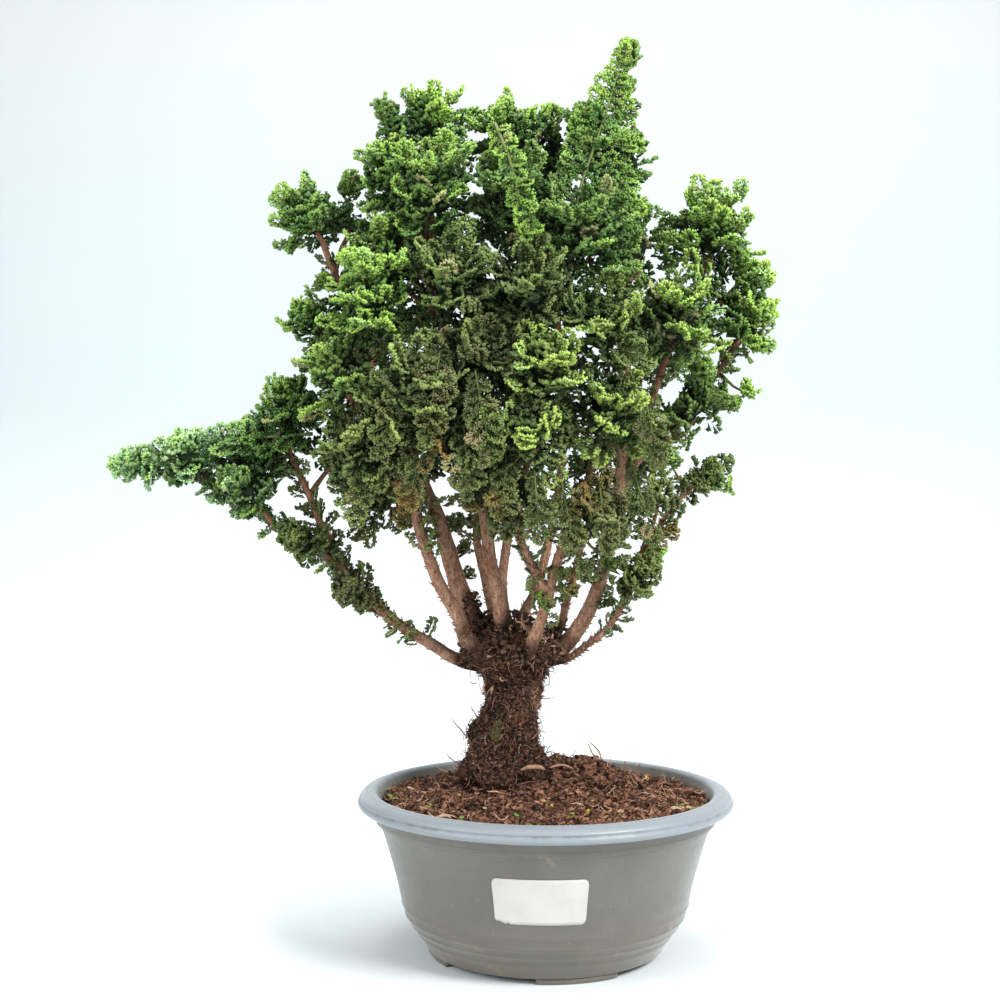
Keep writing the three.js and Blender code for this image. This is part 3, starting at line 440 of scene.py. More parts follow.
def layered_noise(points, size, layers=3, seed=0):
    return sum(noise(points, size / 2 ** k, seed + k) / 2 ** k for k in range(layers))


# ---- Meshes --------------------------------------------------------------------------------------

class Batch:
    """Points, faces and values, gathered for one mesh. A value is for the whole, for each of several
    like shapes or for each point."""

    def __init__(self, **defaults):
        self.points, self.faces, self.count = [], [], 0
        self.defaults = defaults
        self.values = {name: [] for name in defaults}

    def add(self, points, faces, **values):
        points = np.asarray(points, float).reshape(-1, 3)
        self.points.append(points)
        self.faces += [np.asarray(part) + self.count for part in faces if len(part)]
        self.count += len(points)
        for name, default in self.defaults.items():
            value = np.ravel(np.asarray(values.get(name, default), float))
            self.values[name].append(np.repeat(value, len(points) // len(value)).astype(np.float32))

    def mesh(self, name):
        mesh = bpy.data.meshes.new(name)
        points = in_row(np.concatenate(self.points))
        mesh.vertices.add(len(points))
        mesh.vertices.foreach_set("co", points.astype(np.float32).ravel())
        corners = np.concatenate([part.ravel() for part in self.faces])
        sizes = np.concatenate([np.full(len(part), part.shape[1]) for part in self.faces])
        mesh.loops.add(len(corners))
        mesh.loops.foreach_set("vertex_index", corners.astype(np.int32))
        mesh.polygons.add(len(sizes))
        mesh.polygons.foreach_set("loop_start", (np.cumsum(sizes) - sizes).astype(np.int32))
        mesh.update(calc_edges=True)
        for name, parts in self.values.items():
            attribute = mesh.attributes.new(name, "FLOAT", "POINT")
            attribute.data.foreach_set("value", np.concatenate(parts))
        return mesh


def add_object(name, data):
    made = bpy.data.objects.new(name, data)
    bpy.context.scene.collection.objects.link(made)
    return made


def add_mesh(name, batch, material, smooth=True):
    mesh = batch.mesh(name)
    mesh.polygons.foreach_set("use_smooth", np.full(len(mesh.polygons), smooth))
    mesh.materials.append(material)
    return add_object(name, mesh)


def piece(name, batch, material, replaces=(), smooth=True):
    made = add_mesh(name, batch, material, smooth)
    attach(made, "root")
    if replaces:
        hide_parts(*replaces)
    return made


def grid_faces(rings, sides, closed=True):
    """The quads between rings of equally many points."""
    columns = sides if closed else sides - 1
    ring, side = np.meshgrid(np.arange(rings - 1), np.arange(columns), indexing="ij")
    low, high = ring * sides, (ring + 1) * sides
    after = (side + 1) % sides
    return np.stack([low + side, low + after, high + after, high + side], -1).reshape(-1, 4)


def around(count):
    """Evenly spaced angles, once round."""
    return np.arange(count) * 2 * math.pi / count


def polar(radius, angle, z=0.0):
    """Points round the z axis."""
    x, y = radius * np.cos(angle), radius * np.sin(angle)
    return np.stack([x, y, z + 0 * x], -1)


def closed_rings(rings, low_end, high_end):
    """A body of rings of equally many points, closed by a point at either end."""
    count, sides = np.shape(rings)[:2]
    side = np.arange(sides)
    after = (side + 1) % sides
    low, high, last = count * sides, count * sides + 1, (count - 1) * sides
    low_cap = np.stack([np.full(sides, low), after, side], -1)
    high_cap = np.stack([np.full(sides, high), last + side, last + after], -1)
    points = np.concatenate([np.reshape(rings, (-1, 3)), [low_end, high_end]])
    return points, [grid_faces(count, sides), low_cap, high_cap]


def lathe(profile, sides):
    """A closed turned body. The profile starts and ends on the axis."""
    rings = [polar(radius, around(sides), z) for radius, z in profile[1:-1]]
    return closed_rings(rings, (0, 0, profile[0][1]), (0, 0, profile[-1][1]))


def tubes(paths, radii, sides, up=None, flat=1.0):
    """Closed tubes along many paths at once: paths (n, k, 3), radii (n, k). With up, the section is
    flattened along it. Returns points (n * k * sides, 3) and faces."""
    paths, radii = np.asarray(paths, float), np.asarray(radii, float)
    count, steps = paths.shape[:2]
    along = unit(np.gradient(paths, axis=1))
    if up is None:
        up = np.where(np.abs(along[:, :1, 2:]) < 0.8, [[[0, 0, 1.0]]], [[[1.0, 0, 0]]])
    up = np.broadcast_to(np.asarray(up, float), along.shape)
    side = unit(np.cross(up, along))
    over = np.cross(along, side)
    angles = around(sides) + math.pi / 2
    ring = (np.cos(angles)[:, None] * side[:, :, None, :]
            + flat * np.sin(angles)[:, None] * over[:, :, None, :])
    points = paths[:, :, None, :] + radii[:, :, None, None] * ring
    block = grid_faces(steps, sides)[:, ::-1]
    low = np.arange(sides)[None, :]
    high = (steps - 1) * sides + np.arange(sides)[None, ::-1]
    start = (np.arange(count) * steps * sides)[:, None, None]
    return points.reshape(-1, 3), [(block + start).reshape(-1, 4),
                                   (low + start).reshape(-1, sides), (high + start).reshape(-1, sides)]


def catmull_rom(route, places):
    """Points of the CAD model's smooth curve through a route, at parameters from 0 to 1."""
    route = np.asarray(route, float)
    padded = np.concatenate([[2 * route[0] - route[1]], route, [2 * route[-1] - route[-2]]])
    scaled = np.clip(np.asarray(places, float), 0, 1) * (len(route) - 1)
    start = np.minimum(scaled.astype(int), len(route) - 2)
    t = (scaled - start)[:, None]
    p0, p1, p2, p3 = (padded[start + k] for k in range(4))
    m1, m2 = 0.5 * (p2 - p0), 0.5 * (p3 - p1)
    return ((2 * t ** 3 - 3 * t ** 2 + 1) * p1 + (t ** 3 - 2 * t ** 2 + t) * m1
            + (-2 * t ** 3 + 3 * t ** 2) * p2 + (t ** 3 - t ** 2) * m2)


def route_length(route):
    return np.linalg.norm(np.diff(catmull_rom(route, np.linspace(0, 1, 60)), axis=0), axis=1).sum()


def heading_at(route, places, step):
    """The directions along a route at parameters from 0 to 1."""
    places = np.asarray(places, float)
    return unit(catmull_rom(route, places + step) - catmull_rom(route, places - step))


# ---- Materials -----------------------------------------------------------------------------------

class Shader:
    """A material's nodes. What is given for an input is a number, a colour as it looks on screen, from
    0 to 255, or another node's socket."""

    def __init__(self, name, roughness, specular=None):
        self.material = bpy.data.materials.new(name)
        self.material.use_nodes = True
        self.tree = self.material.node_tree
        self.surface = self.tree.nodes["Principled BSDF"]
        self.place = self.node("ShaderNodeTexCoord").outputs["Object"]
        self.give("Roughness", roughness)
        if specular is not None:
            self.give("Specular IOR Level", specular)

    def node(self, kind, inputs=None, **settings):
        made = self.tree.nodes.new(kind)
        for name, value in settings.items():
            setattr(made, name, value)
        for name, value in (inputs or {}).items():
            self.set(made.inputs[name], value)
        return made

    def set(self, socket, value):
        if isinstance(value, bpy.types.NodeSocket):
            self.tree.links.new(value, socket)
        else:
            socket.default_value = (*srgb(*value), 1.0) if socket.type == "RGBA" else value

    def give(self, name, value):
        """Sets one of the surface's inputs."""
        self.set(self.surface.inputs[name], value)

    def attribute(self, name):
        return self.node("ShaderNodeAttribute", attribute_name=name).outputs["Fac"]

    def height(self):
        return self.node("ShaderNodeSeparateXYZ", {"Vector": self.place}).outputs["Z"]

    def noise(self, size, detail, stretch=(1, 1, 1)):
        """Noise from about 0.3 to 0.7 with lumps of size millimetres."""
        place = self.node("ShaderNodeMapping", {"Vector": self.place, "Scale": stretch})
        return self.node("ShaderNodeTexNoise", {
            "Vector": place.outputs["Vector"], "Scale": 1 / (size * MM), "Detail": detail}).outputs["Fac"]

    def math(self, operation, a, b, clamp=False):
        return self.node("ShaderNodeMath", {0: a, 1: b}, operation=operation,
                         use_clamp=clamp).outputs["Value"]

    def times(self, value, *others):
        for other in others:
            value = self.math("MULTIPLY", value, other)
        return value

    def span(self, value, low, high, to_low=0.0, to_high=1.0):
        return self.node("ShaderNodeMapRange", {
            "Value": value, "From Min": low, "From Max": high, "To Min": to_low, "To Max": to_high,
        }).outputs["Result"]

    def spots(self, size, detail, low, high, to_low=0.0, to_high=1.0, stretch=(1, 1, 1)):
        """How much of a colour the spots of a noise show."""
        return self.span(self.noise(size, detail, stretch), low, high, to_low, to_high)

    def mix(self, share, a, b):
        made = self.node("ShaderNodeMix", {0: share, 6: a, 7: b}, data_type="RGBA")
        return made.outputs[2]

    def layered(self, colour, layers):
        """Lays spots of other colours over a colour, one after another."""
        for spots, other in layers:
            colour = self.mix(self.spots(*spots), colour, other)
        return colour

    def bump(self, height, strength, distance):
        made = self.node("ShaderNodeBump", {
            "Height": height, "Strength": strength, "Distance": distance * MM})
        self.give("Normal", made.outputs["Normal"])


def srgb(red, green, blue):
    """The linear values that shaders use for a colour as it looks on screen."""
    return tuple(((c / 255 + 0.055) / 1.055) ** 2.4 if c > 10 else c / 3295 for c in (red, green, blue))


def pot_material():
    s = Shader("pot_plastic", 0.5)
    colour = s.mix(s.spots(45, 3, 0.35, 0.65), (93, 90, 84), (100, 97, 90))
    # Painted highlight: the lip band is painted lighter and bluer than the wall.
    colour = s.mix(s.attribute("lip"), colour, (132, 139, 145))
    soiled = s.times(s.span(s.height(), 0.008, 0.04, 0.7, 0.0), s.spots(14, 4, 0.35, 0.6))
    dust = s.times(s.spots(18, 5, 0.5, 0.72), s.spots(1.8, 4, 0.4, 0.66), 0.25)
    smears = s.times(s.spots(13, 4, 0.66, 0.74), s.spots(1.5, 4, 0.42, 0.6), 0.6)
    # Painted shade: darker in the pot's grooves, under the lip and just inside the rim, in patches.
    groove_shade = s.times(s.attribute("groove"), s.spots(7, 4, 0.46, 0.66), 0.4)
    specks = s.times(s.spots(0.75, 2, 0.73, 0.78), 0.7)
    for cover, tint in ((soiled, (104, 92, 78)), (dust, (136, 126, 114)), (smears, (160, 138, 114)),
                        (groove_shade, (72, 66, 60)), (specks, (214, 208, 198))):
        colour = s.mix(cover, colour, tint)
    s.give("Base Color", colour)
    s.give("Roughness", s.spots(5, 4, 0.3, 0.7, 0.34, 0.5))
    s.give("Sheen Weight", 0.36)
    s.give("Sheen Roughness", 0.4)
    s.bump(s.noise(1.1, 3), 0.12, 0.15)
    return s.material


def label_material():
    s = Shader("label_paper", 0.55)
    s.give("Base Color", s.mix(s.spots(12, 3, 0.4, 0.7), (198, 193, 190), (189, 185, 181)))
    s.bump(s.noise(0.5, 3), 0.1, 0.05)
    return s.material


def peat_material():
    s = Shader("peat", 0.92, specular=0.1)
    colour = s.layered((34, 20, 14), [
        ((1.8, 4, 0.42, 0.58), (140, 102, 82)), ((0.9, 3, 0.4, 0.6, 0.5, 0.0), (26, 15, 10)),
        ((7, 4, 0.58, 0.7, 0.0, 0.5), (118, 76, 56))])
    # Darker patches of peat, spread at random.
    s.give("Base Color", s.mix(s.attribute("damp"), colour, (18, 11, 8)))
    s.bump(s.math("ADD", s.noise(0.7, 5), s.noise(2.2, 4)), 1.0, 1.2)
    return s.material


def bits_material():
    """Loose bits on the soil: the tint attribute runs from dark peat over bark and straw to green."""
    s = Shader("soil_bits", 0.85, specular=0.15)
    tint = s.node("ShaderNodeValToRGB", {"Fac": s.attribute("tint")})
    stops = [(0.0, (42, 26, 18)), (1.0, (112, 150, 66)), (0.3, (124, 86, 66)), (0.5, (184, 138, 110)),
             (0.66, (208, 178, 148)), (0.8, (198, 164, 66))]
    elements = tint.color_ramp.elements
    for number, (position, colour) in enumerate(stops):
        element = elements[number] if number < 2 else elements.new(position)
        element.position, element.color = position, (*srgb(*colour), 1)
    shaded = s.mix(s.spots(0.9, 4, 0.35, 0.65, 0.0, 0.4), tint.outputs["Color"], (48, 31, 22))
    s.give("Base Color", shaded)
    s.bump(s.noise(0.6, 4), 0.5, 0.3)
    return s.material


def bark_material():
    s = Shader("bark", 0.82, specular=0.12)
    fine = s.noise(1.2, 5, (1, 1, 0.3))
    colour = s.mix(s.span(fine, 0.34, 0.66), (140, 104, 86), (202, 160, 134))
    colour = s.layered(colour, [
        ((8, 4, 0.54, 0.7, 0.0, 0.8, (1, 1, 0.4)), (136, 92, 70)),
        ((1.9, 2, 0.58, 0.66, 0.0, 0.7), (98, 58, 42)), ((0.6, 3, 0.38, 0.62, 0.4, 0.0), (88, 60, 48)),
        ((4.4, 4, 0.6, 0.72, 0.0, 0.4), (182, 158, 134))])
    colour = s.mix(s.times(s.attribute("young"), 0.7), colour, (126, 82, 58))
    peat = s.layered((18, 10, 7), [
        ((1.9, 4, 0.42, 0.58), (88, 62, 48)), ((0.9, 3, 0.4, 0.6, 0.5, 0.0), (16, 9, 6)),
        ((11, 2, 0.42, 0.62, 0.0, 0.65), (20, 12, 9)), ((6, 4, 0.62, 0.7, 0.0, 0.6), (106, 66, 46))])
    for name, other in (("peaty", peat), ("bright", (176, 146, 116)), ("moss", (66, 84, 36))):
        colour = s.mix(s.attribute(name), colour, other)
    s.give("Base Color", colour)
    s.bump(s.math("ADD", fine, s.noise(0.6, 4)), 0.7, 0.5)
    return s.material


def foliage_material():
    s = Shader("scale_leaves", 0.5, specular=0.28)
    tip, tone, old = s.attribute("tip"), s.attribute("tone"), s.attribute("old")
    # The tip value darkens each finger towards its foot, and the fingers near a shell's foot: partly paler
    # new growth, partly painted shade in the shell's middle.
    green = s.mix(s.span(tip, 0.0, 0.9), (32, 62, 30), (82, 122, 54))
    khaki = s.mix(s.span(tip, 0.0, 0.9), (50, 48, 26), (112, 110, 70))
    colour = s.mix(old, green, khaki)
    colour = s.mix(s.span(tone, 0.0, 0.5, 0.5, 0.0), colour, (38, 80, 54))
    # Fresh growth and painted highlights: bright yellow-green on the fingertips, stronger where more light
    # reaches a shell.
    glow = s.math("MULTIPLY", s.attribute("fresh"), s.span(tip, 0.25, 1.0), clamp=True)
    bright = s.mix(s.span(tone, 0.15, 0.4), (174, 212, 152), (162, 200, 86))
    colour = s.mix(glow, colour, s.mix(old, bright, (170, 182, 98)))
    colour = s.mix(s.span(tone, 0.75, 1.0, 0.0, 0.25), colour, (158, 172, 98))
    colour = s.mix(s.attribute("pale"), colour, (206, 178, 142))
    rusty = s.mix(s.span(tip, 0.1, 0.9), (74, 52, 26), (132, 106, 54))
    colour = s.mix(s.attribute("rust"), colour, rusty)
    # Painted shade: shells that little light reaches, the inner shells and the cores are painted near black.
    colour = s.mix(s.attribute("deep"), colour, (22, 37, 18))
    s.give("Base Color", colour)
    s.give("Roughness", s.span(s.attribute("deep"), 0, 1, 0.5, 0.95))
    s.bump(s.noise(0.8, 2), 0.3, 0.25)
    return s.material


# ---- Pot and label -------------------------------------------------------------------------------

def smooth_wall(points, steps):
    """A smooth curve through the pot's wall points, as (radius, height) pairs."""
    route = [(r, z, 0) for r, z in points]
    return [(r, z) for r, z, _ in catmull_rom(route, np.linspace(0, 1, steps))]


def pot_profile():
    wall = smooth_wall([POT_FOOT[-1], *POT_WALL, POT_LIP[0]], 60)
    ribbed = []
    for radius, z in wall:
        rise = sum(math.exp(-((z - rib) / 0.9) ** 2) for rib in POT_RIBS)
        ribbed.append((radius + POT_RIB_HEIGHT * rise, z))
    return [*POT_FOOT[:-1], *ribbed, *POT_LIP[1:], *POT_INSIDE]


def pot_radius_at(z):
    wall = smooth_wall([POT_FOOT[-1], *POT_WALL, POT_LIP[0]], 200)
    return np.interp(z, [point[1] for point in wall], [point[0] for point in wall])


def sector_block(inner, outer, low, high, middle, half, columns=14):
    angles = np.linspace(middle - half, middle + half, columns)
    rows = [(inner, low), (outer - 0.5, low), (outer, low + 0.5), (outer, high), (inner, high)]
    points = np.stack([polar(radius, angles, z) for radius, z in rows], 1).reshape(-1, 3)
    sides = len(rows)
    low_cap = np.arange(sides)[None, :]
    high_cap = (columns - 1) * sides + np.arange(sides)[None, ::-1]
    return points, [grid_faces(columns, sides)[:, ::-1], low_cap, high_cap]


def drill_holes(pot):
    """Cuts the drain holes through the pot's floor."""
    batch = Batch()
    for hole in range(FEET):
        place = polar(DRAIN_CIRCLE, FOOT_TURN + (hole + 0.5) * 2 * math.pi / FEET)
        points, faces = lathe([(0, -5), (DRAIN_RADIUS, -5), (DRAIN_RADIUS, 15), (0, 15)], 32)
        batch.add(points + place, faces)
    drill = add_object("drill", batch.mesh("drill"))
    cut = pot.modifiers.new("cut", "BOOLEAN")
    cut.object, cut.operation, cut.solver = drill, "DIFFERENCE", "EXACT"
    whole = pot.data
    pot.data = bpy.data.meshes.new_from_object(pot.evaluated_get(bpy.context.evaluated_depsgraph_get()))
    pot.data.name = "pot_shell"
    pot.modifiers.clear()
    bpy.data.meshes.remove(whole)
    bpy.data.objects.remove(drill)


def build_pot():
    batch = Batch(groove=0.0, lip=0.0)
    points, faces = lathe(pot_profile(), POT_SIDES)
    radius, z = np.hypot(points[:, 0], points[:, 1]), points[:, 2]
    # The groove mask says where painted shade darkens the pot: its grooves, under the lip and inside the rim.
    groove = sum(np.exp(-((z - middle) / 0.7) ** 2) for middle in POT_GROOVES)
    groove += np.exp(-((z - LIP_INSIDE_HEIGHT) / 1.2) ** 2) * (radius < LIP_INSIDE_RADIUS)
    # The lip mask marks the band that gets the painted highlight.
    batch.add(points, faces, groove=np.clip(groove, 0, 1), lip=(z > POT_LIP_LOW) * (radius > LIP_RADIUS))
    for foot in range(FEET):
        middle = FOOT_TURN + (foot - 1) * 2 * math.pi / FEET
        batch.add(*sector_block(FOOT_INNER, FOOT_OUTER, 0, FOOT_HEIGHT + 0.5, middle, FOOT_HALF_ANGLE))
    pot = piece("pot_shell", batch, pot_material(), ["pot"])
    drill_holes(pot)
    for polygon in pot.data.polygons:
        polygon.use_smooth = abs(polygon.normal.z) < 0.999


def build_label():
    """A bare paper label with rounded corners, slightly torn at its lower left."""
    columns, rows, corner, thickness = 90, 14, 3.0, 0.22
    x = np.linspace(-LABEL_WIDTH / 2, LABEL_WIDTH / 2, columns)
    inset = np.maximum(0, np.abs(x) - (LABEL_WIDTH / 2 - corner))
    rounding = corner - np.sqrt(np.maximum(0, corner ** 2 - inset ** 2))
    torn = 1.5 * np.exp(-((x + 21.5) / 2.2) ** 2) + 0.5 * np.exp(-((x + 17) / 1.3) ** 2)
    torn += 0.18 * noise(np.stack([x, 0 * x, 0 * x], -1), 0.8, 5) * (x < -12)
    low, high = LABEL_LOW + rounding + torn, LABEL_HIGH - rounding
    batch = Batch()
    layers = []
    for off in (0.12, 0.12 + thickness):
        z = low + (high - low) * np.linspace(0, 1, rows)[:, None]
        lift = 0.5 * np.exp(-((x + 22) / 5) ** 2) * np.exp(-((z - LABEL_LOW) / 5) ** 2)
        radius = pot_radius_at(z) + off + lift
        angle = LABEL_TURN + x / pot_radius_at((LABEL_LOW + LABEL_HIGH) / 2) - math.pi / 2
        layers.append(polar(radius, angle, z).reshape(-1, 3))
    count = rows * columns
    sheet = grid_faces(rows, columns, closed=False)
    border = np.array([*range(columns), *range(2 * columns - 1, count, columns),
                       *range(count - 2, count - columns - 1, -1), *range(count - 2 * columns, 0, -columns)])
    after = np.roll(border, -1)
    rim = np.stack([border, after, after + count, border + count], -1)
    batch.add(np.concatenate(layers), [sheet[:, ::-1], sheet + count, rim])
    piece("label_sheet", batch, label_material(), ["label"])


# ---- Soil ----------------------------------------------------------------------------------------

def soil_height(x, y):
    trunk_x, trunk_y = TRUNK_RINGS[2][:2]
    away = np.hypot(x - trunk_x, y - trunk_y)
    mound = SOIL_MOUND_HEIGHT * np.exp(-((away / SOIL_MOUND_WIDTH) ** 2))
    ridge = ROOT_RIDGE
    along = np.clip((x - ridge["from_x"]) / (ridge["to_x"] - ridge["from_x"]), 0, 1)
    beside = y - (ridge["from_y"] + (ridge["to_y"] - ridge["from_y"]) * along)
    root = ridge["height"] * np.sin(math.pi * along) * np.exp(-((beside / ridge["width"]) ** 2))
    lumps = 0.9 * np.sin(x / 6.1 + 1) * np.cos(y / 7.3) + 0.6 * np.sin((x + y) / 4.2)
    return SOIL_EDGE_HEIGHT + mound + root + lumps


def fine_soil_height(x, y):
    place = np.stack([x, y, 0 * x], -1)
    fine = 1.3 * layered_noise(place, 5.5, 3, 11) + 0.5 * noise(place, 1.3, 15)
    return soil_height(x, y) - 1.0 + fine


def build_soil():
    angles = around(SOIL_SIDES)
    rings = [polar(radius, angles, z) for radius, z in SOIL_WALL]
    for radius in np.linspace(SOIL_RADIUS, 0.6, SOIL_CIRCLES):
        ring = polar(radius, angles)
        ring[:, 2] = fine_soil_height(ring[:, 0], ring[:, 1]) - (EDGE_DROP if radius == SOIL_RADIUS else 0)
        rings.append(ring)
    points, faces = closed_rings(rings, (0, 0, SOIL_WALL[0][1]), rings[-1].mean(0))
    # Darker patches at random over the soil.
    darkness = np.clip(0.2 - layered_noise(points, 3.4, 3, 12) * 1.5, 0, 1)
    batch = Batch(damp=0.0)
    batch.add(points, faces, damp=darkness)
    piece("soil_body", batch, peat_material(), ["soil"])


ICOSAHEDRON_POINTS = unit([
    (-1, 1.618, 0), (1, 1.618, 0), (-1, -1.618, 0), (1, -1.618, 0), (0, -1, 1.618), (0, 1, 1.618),
    (0, -1, -1.618), (0, 1, -1.618), (1.618, 0, -1), (1.618, 0, 1), (-1.618, 0, -1), (-1.618, 0, 1)])
ICOSAHEDRON_FACES = np.array([
    (0, 11, 5), (0, 5, 1), (0, 1, 7), (0, 7, 10), (0, 10, 11), (1, 5, 9), (5, 11, 4), (11, 10, 2),
    (10, 7, 6), (7, 1, 8), (3, 9, 4), (3, 4, 2), (3, 2, 6), (3, 6, 8), (3, 8, 9), (4, 9, 5),
    (2, 4, 11), (6, 2, 10), (8, 6, 7), (9, 8, 1)])


def crumbs(random, places, sizes, flatness=(0.5, 1.0), stretch=(1.0, 1.8)):
    """Irregular lumps, each at its own place and size."""
    count = len(places)
    shape = ICOSAHEDRON_POINTS[None] * (1 + 0.45 * (random.random((count, 12, 1)) - 0.5))
    shape = shape * np.stack([
        random.uniform(*stretch, count), np.ones(count), random.uniform(*flatness, count)], -1)[:, None]
    turn = random.random(count) * 2 * math.pi
    tilt = (random.random((count, 2)) - 0.5) * 0.9
    cos, sin = np.cos(turn)[:, None], np.sin(turn)[:, None]
    x, y, z = np.moveaxis(shape, -1, 0)
    x, y = x * cos - y * sin, x * sin + y * cos
    z = z + tilt[:, :1] * x + tilt[:, 1:] * y
    points = np.stack([x, y, z], -1) * np.asarray(sizes)[:, None, None] + np.asarray(places)[:, None]
    faces = ICOSAHEDRON_FACES[None] + (np.arange(count) * 12)[:, None, None]
    return points.reshape(-1, 3), [faces.reshape(-1, 3)]


def fibres(random, starts, directions, lengths, thickness, curl, steps=6):
    """Thin curling threads. Returns points and faces."""
    count = len(starts)
    heading = unit(directions)
    path = [np.asarray(starts, float)]
    for _ in range(steps - 1):
        heading = unit(heading + curl * (random.random((count, 3)) - 0.5))
        path.append(path[-1] + heading * (np.asarray(lengths) / (steps - 1))[:, None])
    shape = np.array([0.7, 1.0, 1.0, 0.9, 0.7, 0.35])
    radii = np.asarray(thickness)[:, None] * np.interp(np.linspace(0, 5, steps), range(6), shape)
    return tubes(np.stack(path, 1), radii, 3)


def slivers(random, feet, ways):
    """Short pointed bits of bark."""
    count = len(feet)
    ends = feet + unit(ways) * random.uniform(0.8, 2.8, (count, 1))
    return clubs(feet, ends, unit(random.normal(size=(count, 3))), random.uniform(0.3, 1.0, count))


def on_soil(random, count, lift=0.0):
    """Places spread evenly over the soil, clear of the trunk."""
    found = np.zeros((0, 2))
    while len(found) < count:
        radius = LITTER_RADIUS * np.sqrt(random.random(2 * count))
        place = polar(radius, random.random(2 * count) * 2 * math.pi)[:, :2]
        away = np.linalg.norm(place - TRUNK_RINGS[2][:2], axis=1)
        found = np.concatenate([found, place[away > TRUNK_RINGS[2][3] - 4]])
    found = found[:count]
    return np.column_stack([found, fine_soil_height(found[:, 0], found[:, 1]) + lift])


def on_ground(x, y, lift=0.0):
    """One chosen place on the soil."""
    x, y = np.float64(x), np.float64(y)
    return np.array([x, y, float(fine_soil_height(x, y)) + lift])


def leaf_pair(random, foot, height, size):
    """A seedling: a thin stem with two small round leaves."""
    parts = []
    lean = (random.random(3) - 0.5) * [0.7, 0.7, 0]
    top = foot + np.array([0, 0, height]) + lean * height
    middle = (foot + top) / 2 + (random.random(3) - 0.5) * 0.6
    parts.append(tubes([[foot, middle, top]], [[0.22, 0.2, 0.2]], 4))
    for turn in np.arange(2) * math.pi + random.random() * math.pi:
        out = np.array([math.cos(turn), math.sin(turn), 0.25 + 0.4 * random.random()])
        stations = np.array([0, 0.25, 0.55, 0.8, 1.0])
        path = top + unit(out) * size * stations[:, None]
        width = size * 0.42 * np.array([0.25, 0.8, 1.0, 0.8, 0.25])
        up = np.cross(unit(out), np.cross([0, 0, 1.0], unit(out)))
        parts.append(tubes([path], [width], 8, up=up, flat=0.14))
    return parts


def build_litter():
    random = np.random.default_rng(LITTER_SEED)
    batch = Batch(tint=0.0)

    def add_crumbs(count, lift, sizes, tints, power=1.0, **shape):
        places = on_soil(random, count, lift)
        batch.add(*crumbs(random, places, random.uniform(*sizes, count) ** power, **shape),
                  tint=random.uniform(*tints, count))

    add_crumbs(SOIL_GRIT, 0.0, (0.4, 1.5), (0.0, 0.45), power=1.2)
    count = SOIL_SLIVERS
    feet = on_soil(random, count, 0.2)
    ways = random.normal(size=(count, 3)) * [1, 1, 0.35] + [0, 0, 0.25]
    batch.add(*slivers(random, feet, ways), tint=random.uniform(0.0, 0.55, count))
    add_crumbs(SOIL_CHIPS, 0.4, (0.8, 1.9), (0.3, 0.64), flatness=(0.22, 0.45), stretch=(1.1, 2.2))
    add_crumbs(SOIL_GRAINS, 0.7, (0.8, 1.5), (0.74, 0.82))

    count = SOIL_THREADS
    starts = on_soil(random, count, 0.5)
    ways = np.column_stack([random.normal(size=(count, 2)), 0.25 * random.normal(size=count)])
    lengths = random.uniform(3, 11, count)
    points, faces = fibres(random, starts, ways, lengths, random.uniform(0.14, 0.34, count), 1.1)
    points[:, 2] = np.maximum(points[:, 2], fine_soil_height(points[:, 0], points[:, 1]) - 0.2)
    radius = np.hypot(points[:, 0], points[:, 1])
    points[:, :2] *= np.minimum(1, (LITTER_RADIUS + 1) / np.maximum(radius, 1))[:, None]
    batch.add(points, faces, tint=random.uniform(0.15, 0.66, count))

    stone = crumbs(random, [on_ground(*STONE, 0.9)], [STONE_SIZE], flatness=(0.5, 0.6), stretch=(1.3, 1.4))
    batch.add(*stone, tint=0.6)
    for x, y, height, size in SEEDLINGS:
        for part in leaf_pair(random, on_ground(x, y), height, size):
            batch.add(*part, tint=1.0)
    for x, y, lean, height in DEAD_TWIGS:
        twig = fibres(random, [on_ground(x, y, -1)], [[lean, 0.1, 1.0]], [height], [0.55], 0.5, steps=8)
        batch.add(*twig, tint=0.36)
    piece("soil_litter", batch, bits_material(), smooth=False)


# ---- Wood ----------------------------------------------------------------------------------------

def trunk_point(angle, z):
    """The middle line and the radius of the lumpy trunk at a height."""
    x, y, radius = (np.interp(z, TRUNK_RINGS[:, 2], TRUNK_RINGS[:, k]) for k in (0, 1, 3))
    level = np.interp(z, TRUNK_RINGS[:, 2], np.arange(len(TRUNK_RINGS)))
    lumps = np.sin(3 * angle + level) + np.sin(5 * angle - 1.7 * level)
    reach = radius * (1 + 0.09 * lumps)
    return np.stack([x + reach * np.cos(angle), y + reach * np.sin(angle), z], -1)


def fine_trunk(angle, z, out=0.0):
    base = trunk_point(angle, z)
    rough = 1.5 * layered_noise(base, 6.5, 3, 21) + 0.5 * noise(base * [1, 1, 0.35], 1.7, 25) - 0.6
    return base + polar(1, angle) * (rough + out)[..., None]


def add_trunk(batch):
    foot, head = TRUNK_RINGS[0], TRUNK_RINGS[-1]
    heights = np.linspace(foot[2], head[2], TRUNK_LEVELS)
    grid_z, grid_angle = np.meshgrid(heights, around(TRUNK_SIDES), indexing="ij")
    points, faces = closed_rings(fine_trunk(grid_angle, grid_z), foot[:3], head[:3] + [0, 0, 2.5])
    streak = np.exp(-((np.arctan2(points[:, 1], points[:, 0] + 18) + 0.35) / 0.16) ** 2)
    streak *= np.exp(-((points[:, 2] - 140) / 10) ** 2)
    batch.add(points, faces, peaty=1 - 0.9 * np.clip(streak, 0, 1))


def limb_radius(limb, t):
    start, end, _ = LIMBS[limb]
    return start + (end - start) * np.asarray(t) ** LIMB_TAPER


